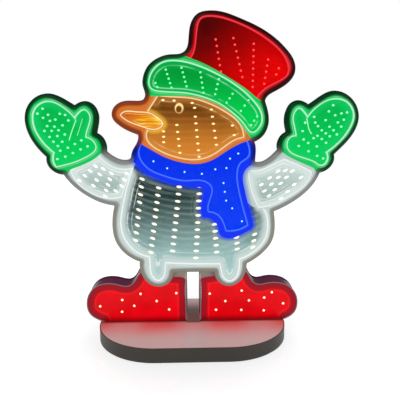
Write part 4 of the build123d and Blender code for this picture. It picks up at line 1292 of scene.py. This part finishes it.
class SNOWMAN_OT_dots(bpy.types.Operator):
    """Light points behind every window and on the boots"""

    bl_idname = "snowman.dots"
    bl_label = "Light points"

    def execute(self, context):
        tree = dots_tree()
        looks = {look.area: look for look in context.scene.snowman_areas}
        for name in [*looks, "left_boot", "right_boot"]:
            spots = centres(f"{name}_leds")
            on_boot = name.endswith("boot")
            spots[:, 1] = -(BOOT_DOT_BASE if on_boot else DOT_BASE)
            middle, lean, least, most = DOT_SLOPES.get(name, (0, 0, 0, 0))
            slopes = -np.radians(np.clip(middle + lean * spots[:, 0] / 100, least, most))
            piece = new_piece(f"{name}_dots", spots, [], {"slope": slopes})
            if on_boot:
                finish = glowing(f"{name}_dot", shade(255, 240, 200), shade(255, 190, 130), 1.3)
                width, height = BOOT_DOT_SIZE
            else:
                finish = dot_material(f"{name}_dot", looks[name])
                width, height = looks[name].dot_size
            inputs = {"Width": width * MM, "Height": height * MM, "Rise": DOT_RISE * MM, "Material": finish}
            baked(piece, tree, inputs)
            finished(piece, BODY, finish, [f"{name}_leds"])
        return {"FINISHED"}


# Creases between thumb and palm: outline points in millimetres.
CREASES = {
    "left_crease": [(-191, 391), (-194, 383), (-199, 372), (-204, 357)],
    "left_crease_side": [(-180, 393), (-184, 381), (-190, 365)],
    "right_crease": [(196, 391.5), (198, 382), (200, 372), (205, 365)],
}


class SNOWMAN_OT_creases(bpy.types.Operator):
    """Lit creases between the thumbs and palms of the mittens"""

    bl_idname = "snowman.creases"
    bl_label = "Thumb creases"

    def execute(self, context):
        finish = glowing("crease_glow", shade(190, 255, 206), shade(60, 215, 120), 0.95)
        for name, route in CREASES.items():
            curve = bpy.data.curves.new(name, "CURVE")
            curve.dimensions = "3D"
            curve.bevel_depth = (SIDE_CREASE_RADIUS if name.endswith("side") else CREASE_RADIUS) * MM
            curve.bevel_resolution = 3
            curve.use_fill_caps = True
            line = curve.splines.new("NURBS")
            line.points.add(len(route) - 1)
            for point, (across, up) in zip(line.points, route):
                point.co = (across * MM, -(TRAY_FLOOR + 0.3) * MM, up * MM, 1)
            line.order_u = 3
            line.use_endpoint_u = True
            source = bpy.data.objects.new(name, curve)
            context.scene.collection.objects.link(source)
            seen = source.evaluated_get(context.evaluated_depsgraph_get())
            piece = bpy.data.objects.new(name, bpy.data.meshes.new_from_object(seen))
            bpy.data.objects.remove(source)
            piece.name = name
            context.scene.collection.objects.link(piece)
            finished(piece, BODY, finish)
        return {"FINISHED"}


class SNOWMAN_OT_boots(bpy.types.Operator):
    """Red fronts of the two boots"""

    bl_idname = "snowman.boots"
    bl_label = "Boots"

    def execute(self, context):
        spacing = context.scene.snowman_sizes.spacing
        finish = boot_lens_material()
        for side in ("left", "right"):
            loops = flat_loops(f"{side}_boot_lens", BOOT_FACE)
            edge = [smooth_path(max(loops, key=lambda loop: abs(area(loop))), spacing)]
            in_foot = edge[0][:, 1] < PLINTH_TOP + FOOT_BAND
            open_foot = [edge[0] - np.outer(in_foot, [0, FOOT_DROP])]
            rings = ring_points(edge, edge, edge, BOOT_LINES, 1.3 * spacing)
            inner = np.concatenate([rings[distance(rings, edge) > 0.12], grid_points(edge, 25, 7)])

            def height(points, edge=edge):
                part = np.clip(distance(points, edge) / BOOT_ROUND, 0, 1)
                return BOOT_FACE - BOOT_DROP + BOOT_DROP * np.sqrt(1 - (1 - part) ** 2)

            measures = {"inset": lambda points, line=open_foot: distance(points, line)}
            piece = relief(f"{side}_boot_front", edge, inner, height, 1, measures)
            finished(piece, BODY, finish, [f"{side}_boot_lens"])
        return {"FINISHED"}


def head_mesh(name, radius, rise):
    """Pan head with a cross recess; its axis is +Z and it stands on z = 0."""
    turns = 32
    slot_width, slot_reach, slot_depth = 0.14, 0.6, 0.45
    roundness = 0.88
    angles = [2 * math.pi * i / turns for i in range(turns)]
    directions = [(math.cos(angle), math.sin(angle)) for angle in angles]
    points = [(0, 0, rise * (1 - slot_depth))]
    for part in (0.12, 0.2, 0.3, 0.42, 0.55, 0.64, 0.75, 0.86, 0.94, 1.0):
        for x, y in directions:
            in_slot = part * min(abs(x), abs(y)) < slot_width and part < slot_reach
            top = math.sqrt(1 - roundness * part ** 2) - (slot_depth if in_slot else 0)
            points.append((x * part * radius, y * part * radius, top * rise))
    points += [(x * radius, y * radius, 0) for x, y in directions]
    faces = [(0, 1 + i, 1 + (i + 1) % turns) for i in range(turns)]
    for first in range(1, len(points) - turns, turns):
        for i in range(turns):
            j = (i + 1) % turns
            faces.append((first + i, first + turns + i, first + turns + j, first + j))
    faces.append(list(reversed(range(len(points) - turns, len(points)))))
    return new_piece(name, points, faces)


def copies_tree():
    """Geometry Nodes: the given object on every point, its +Z turned to +Y, with a random spin."""
    inputs = {"Copy": "Object", "Spin": "Float", "Seed": "Int"}
    tree, nodes, given = opened_tree("copies_on_points", inputs)
    copy = nodes.add("GeometryNodeObjectInfo", None, {"Object": given["Copy"]}, output="Geometry")
    spin = nodes.add(
        "FunctionNodeRandomValue", {"data_type": "FLOAT"},
        {2: 0.0, 3: given["Spin"], "Seed": given["Seed"]}, output=1,
    )
    turn = nodes.add("ShaderNodeCombineXYZ", None, [-math.pi / 2, spin, 0.0])
    placed = nodes.add(
        "GeometryNodeInstanceOnPoints", None,
        {"Points": given["Geometry"], "Instance": copy, "Rotation": turn},
    )
    close_tree(nodes, placed, given["Material"])
    return tree


class SNOWMAN_OT_screws(bpy.types.Operator):
    """Cross-recessed heads of the screws in the back of the panel and boots"""

    bl_idname = "snowman.screws"
    bl_label = "Screws"

    def execute(self, context):
        tree = copies_tree()
        finish = brushed("zinc_plate", (0.62, 0.62, 0.6), 0.28)
        head = head_mesh("head", HEAD_RADIUS, HEAD_RISE)
        for seed, node in enumerate(("back_screws", "boot_screws")):
            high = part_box(node)[1][1] / MM
            spots = centres(node)
            spots[:, 1] = high - HEAD_RISE
            piece = new_piece(f"{node}_heads", spots, [])
            baked(piece, tree, {"Copy": head, "Seed": seed, "Spin": 2 * math.pi, "Material": finish})
            finished(piece, BODY, finish, [node])
        bpy.data.objects.remove(head)
        return {"FINISHED"}


def rib_mesh(length, half_width, rise):
    """Half-round rib along X that stands on z = 0."""
    steps = 8
    angles = [math.pi * k / steps for k in range(steps + 1)]
    section = [(half_width * math.cos(angle), rise * math.sin(angle)) for angle in angles]
    count = len(section)
    points = [(side * length / 2, y, z) for side in (-1, 1) for y, z in section]
    faces = [(k, k + 1, count + k + 1, count + k) for k in range(steps)]
    faces.append(list(reversed(range(count))))
    faces.append(list(range(count, 2 * count)))
    faces.append((0, count, 2 * count - 1, count - 1))
    return new_piece("rib", points, faces)


class SNOWMAN_OT_door_ribs(bpy.types.Operator):
    """Grip ribs across the lower end of the battery door"""

    bl_idname = "snowman.door_ribs"
    bl_label = "Door ribs"

    def execute(self, context):
        low, high = (np.array(corner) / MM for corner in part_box("battery_door"))
        middle = (low[0] + high[0]) / 2
        first = low[2] + RIB_START
        spots = [(middle, DOOR_FACE - RIB_SINK, first + RIB_PITCH * i) for i in range(RIB_COUNT)]
        rib = rib_mesh(RIB_LENGTH, RIB_HALF_WIDTH, RIB_RISE)
        finish = coated("moulded_rib", (0.02, 0.02, 0.022), 0.45)
        piece = new_piece("door_ribs", spots, [])
        baked(piece, copies_tree(), {"Copy": rib, "Seed": 0, "Spin": 0.0, "Material": finish})
        bpy.data.objects.remove(rib)
        finished(piece, "door", finish)
        return {"FINISHED"}


class SNOWMAN_OT_finishes(bpy.types.Operator):
    """Procedural finish for every CAD piece that stays in view"""

    bl_idname = "snowman.finishes"
    bl_label = "Frame finishes"

    def execute(self, context):
        returns = coated("powder_coat", (0.028, 0.028, 0.03), 0.42, 900, 0.2)
        board = coated("foam_board", (0.72, 0.72, 0.7), 0.5, 500, 0.08, 0.12)
        steel = brushed("plated_steel", (0.6, 0.6, 0.58), 0.3)
        moulded = coated("moulded_case", (0.02, 0.02, 0.022), 0.42, 1100, 0.25)
        walls = boot_wall_material()
        plum = coated("plum_board", shade(86, 26, 66), 0.4, 500, 0.1)
        given = {
            "back_plate": board, "mirror_standoffs": board, "boot_pillars": board, "leg_spacers": board,
            "left_boot_return": walls, "right_boot_return": walls, "left_boot_back": plum,
            "right_boot_back": plum, "boot_blocks": wood_material(),
            "boot_mirrors": brushed("mirror_sheet", (0.8, 0.82, 0.84), 0.06),
            "plinth_body": coated("satin_plinth", shade(48, 42, 34), 0.5, 1200, 0.15, 0.3),
            "plinth_sheet": plinth_top_material(),
            "plinth_pad": coated("foam_pad", (0.015, 0.015, 0.016), 0.8, 1500, 0.4),
            "battery_case": moulded, "battery_door": moulded, "switch_body": moulded,
            "switch_slider": coated("pale_knob", (0.7, 0.7, 0.68), 0.4, 1100, 0.15),
            "cells": cell_material(),
            "battery_contacts": brushed("spring_brass", (0.78, 0.62, 0.3), 0.22),
            "driver_board": coated("glass_fibre", (0.02, 0.17, 0.08), 0.3, 800, 0.1),
            "left_boot_lead": coated("lead_cover", (0.02, 0.02, 0.02), 0.5),
            "right_boot_lead": coated("lead_cover_right", (0.02, 0.02, 0.02), 0.5),
        }
        for node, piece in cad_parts.items():
            finish = given.get(node, returns if node.endswith("_return") else steel)
            piece.data.materials.clear()
            piece.data.materials.append(finish)
        return {"FINISHED"}


def floor_wires(nodes):
    """Floor whose glow is a little dimmer near the middle, a painted shade around the object, so the shadow
    and reflection show there.
    """
    apart = nodes.add("ShaderNodeVectorMath", {"operation": "LENGTH"}, [nodes.place()], output="Value")
    grain = nodes.noise(8, 2)
    return {
        "Roughness": 0.05 + 0.04 * grain,
        # Painted shade: the glow drops to 0.74 near the middle.
        "Emission Color": nodes.mix(nodes.ramp(apart, 0.1, 0.34), (0.74, 0.74, 0.74), (1, 1, 1)),
    }


class SNOWMAN_OT_stage(bpy.types.Operator):
    """Pale floor, soft studio light and the camera"""

    bl_idname = "snowman.stage"
    bl_label = "Stage"

    def execute(self, context):
        look = context.scene.snowman_stage
        half = look.floor_size / 2 / MM
        corners = [(-half, -half, 0), (half, -half, 0), (half, half, 0), (-half, half, 0)]
        floor = new_piece("floor", corners, [(0, 1, 2, 3)])
        finish = material(
            "pale_floor", floor_wires, base_color=(0.3, 0.3, 0.3), emission_strength=1.0,
            specular_ior_level=0.5,
        )
        floor.data.materials.append(finish)
        world = bpy.data.worlds.new("surround")
        world.use_nodes = True
        nodes = Nodes(world.node_tree)
        background = world.node_tree.nodes["Background"]
        seen = nodes.add("ShaderNodeLightPath", output="Is Camera Ray")
        nodes.set(background.inputs["Strength"], seen * (1 - look.surround) + look.surround)
        nodes.set(background.inputs["Color"], (1, 1, 1))
        context.scene.world = world
        context.scene.view_settings.view_transform = "Standard"
        lamps = {
            "key": ((-0.5, -1.0, 1.5), 0.9, look.key_power),
            "fill": ((0.9, -0.7, 0.9), 0.8, look.key_power * 0.4),
            "back": ((0.3, 1.2, 1.3), 1.0, look.key_power * 0.8),
        }
        for name, (place, size, power) in lamps.items():
            lamp = bpy.data.lights.new(name, "AREA")
            lamp.size = size
            lamp.energy = power
            holder = bpy.data.objects.new(name, lamp)
            holder.visible_glossy = name != "back"
            holder.location = place
            direction = -holder.location.copy()
            direction.z += LIT_HEIGHT
            holder.rotation_euler = direction.to_track_quat("-Z", "Y").to_euler()
            context.scene.collection.objects.link(holder)
        camera = bpy.data.cameras.new("view")
        camera.lens = look.lens_length
        camera.sensor_width = 36
        camera.clip_start = 0.05
        camera.dof.use_dof = False
        holder = bpy.data.objects.new("view", camera)
        turn = Matrix.Rotation(-look.yaw, 4, "Z") @ Matrix.Rotation(math.pi / 2 - look.pitch, 4, "X")
        holder.matrix_world = Matrix.Translation(look.eye) @ turn @ Matrix.Rotation(look.roll, 4, "Z")
        context.scene.collection.objects.link(holder)
        context.scene.camera = holder
        return {"FINISHED"}


STEPS = (
    "finishes", "lenses", "windows", "trim", "nose", "dots", "creases", "boots", "screws", "door_ribs",
    "stage",
)


class SNOWMAN_PT_panel(bpy.types.Panel):
    """Lists the steps and their sizes and colours"""

    bl_idname = "SNOWMAN_PT_panel"
    bl_label = "Snowman light box"
    bl_space_type = "VIEW_3D"
    bl_region_type = "UI"
    bl_category = "Snowman"

    def draw(self, context):
        for step in STEPS:
            self.layout.operator(f"snowman.{step}")
        for word in ("spacing", "bead_width", "bead_height", "bevel_drop", "trim_lip"):
            self.layout.prop(context.scene.snowman_sizes, word)
        for word in ("surround", "key_power", "lens_length"):
            self.layout.prop(context.scene.snowman_stage, word)
        for look in context.scene.snowman_areas:
            box = self.layout.box()
            box.label(text=look.area)
            for word in (*COLOUR_WORDS, "dot_size", "dot_white", "dark_from", "bead_light", "edge_light"):
                box.prop(look, word)


CLASSES = (
    SNOWMAN_PG_area, SNOWMAN_PG_sizes, SNOWMAN_PG_stage, SNOWMAN_OT_finishes, SNOWMAN_OT_lenses,
    SNOWMAN_OT_windows, SNOWMAN_OT_trim, SNOWMAN_OT_nose, SNOWMAN_OT_dots, SNOWMAN_OT_creases,
    SNOWMAN_OT_boots, SNOWMAN_OT_screws, SNOWMAN_OT_door_ribs, SNOWMAN_OT_stage, SNOWMAN_PT_panel,
)


def register():
    """Adds the classes and the scene's properties."""
    for one in CLASSES:
        bpy.utils.register_class(one)
    bpy.types.Scene.snowman_areas = CollectionProperty(type=SNOWMAN_PG_area)
    bpy.types.Scene.snowman_sizes = PointerProperty(type=SNOWMAN_PG_sizes)
    bpy.types.Scene.snowman_stage = PointerProperty(type=SNOWMAN_PG_stage)


def unregister():
    """Takes them away again."""
    for word in ("snowman_areas", "snowman_sizes", "snowman_stage"):
        delattr(bpy.types.Scene, word)
    for one in reversed(CLASSES):
        bpy.utils.unregister_class(one)


def main():
    """Builds every piece in order."""
    register()
    fill_areas(bpy.context.scene)
    for step in STEPS:
        getattr(bpy.ops.snowman, step)()
    bpy.context.view_layer.update()


if __name__ == "__main__":
    main()
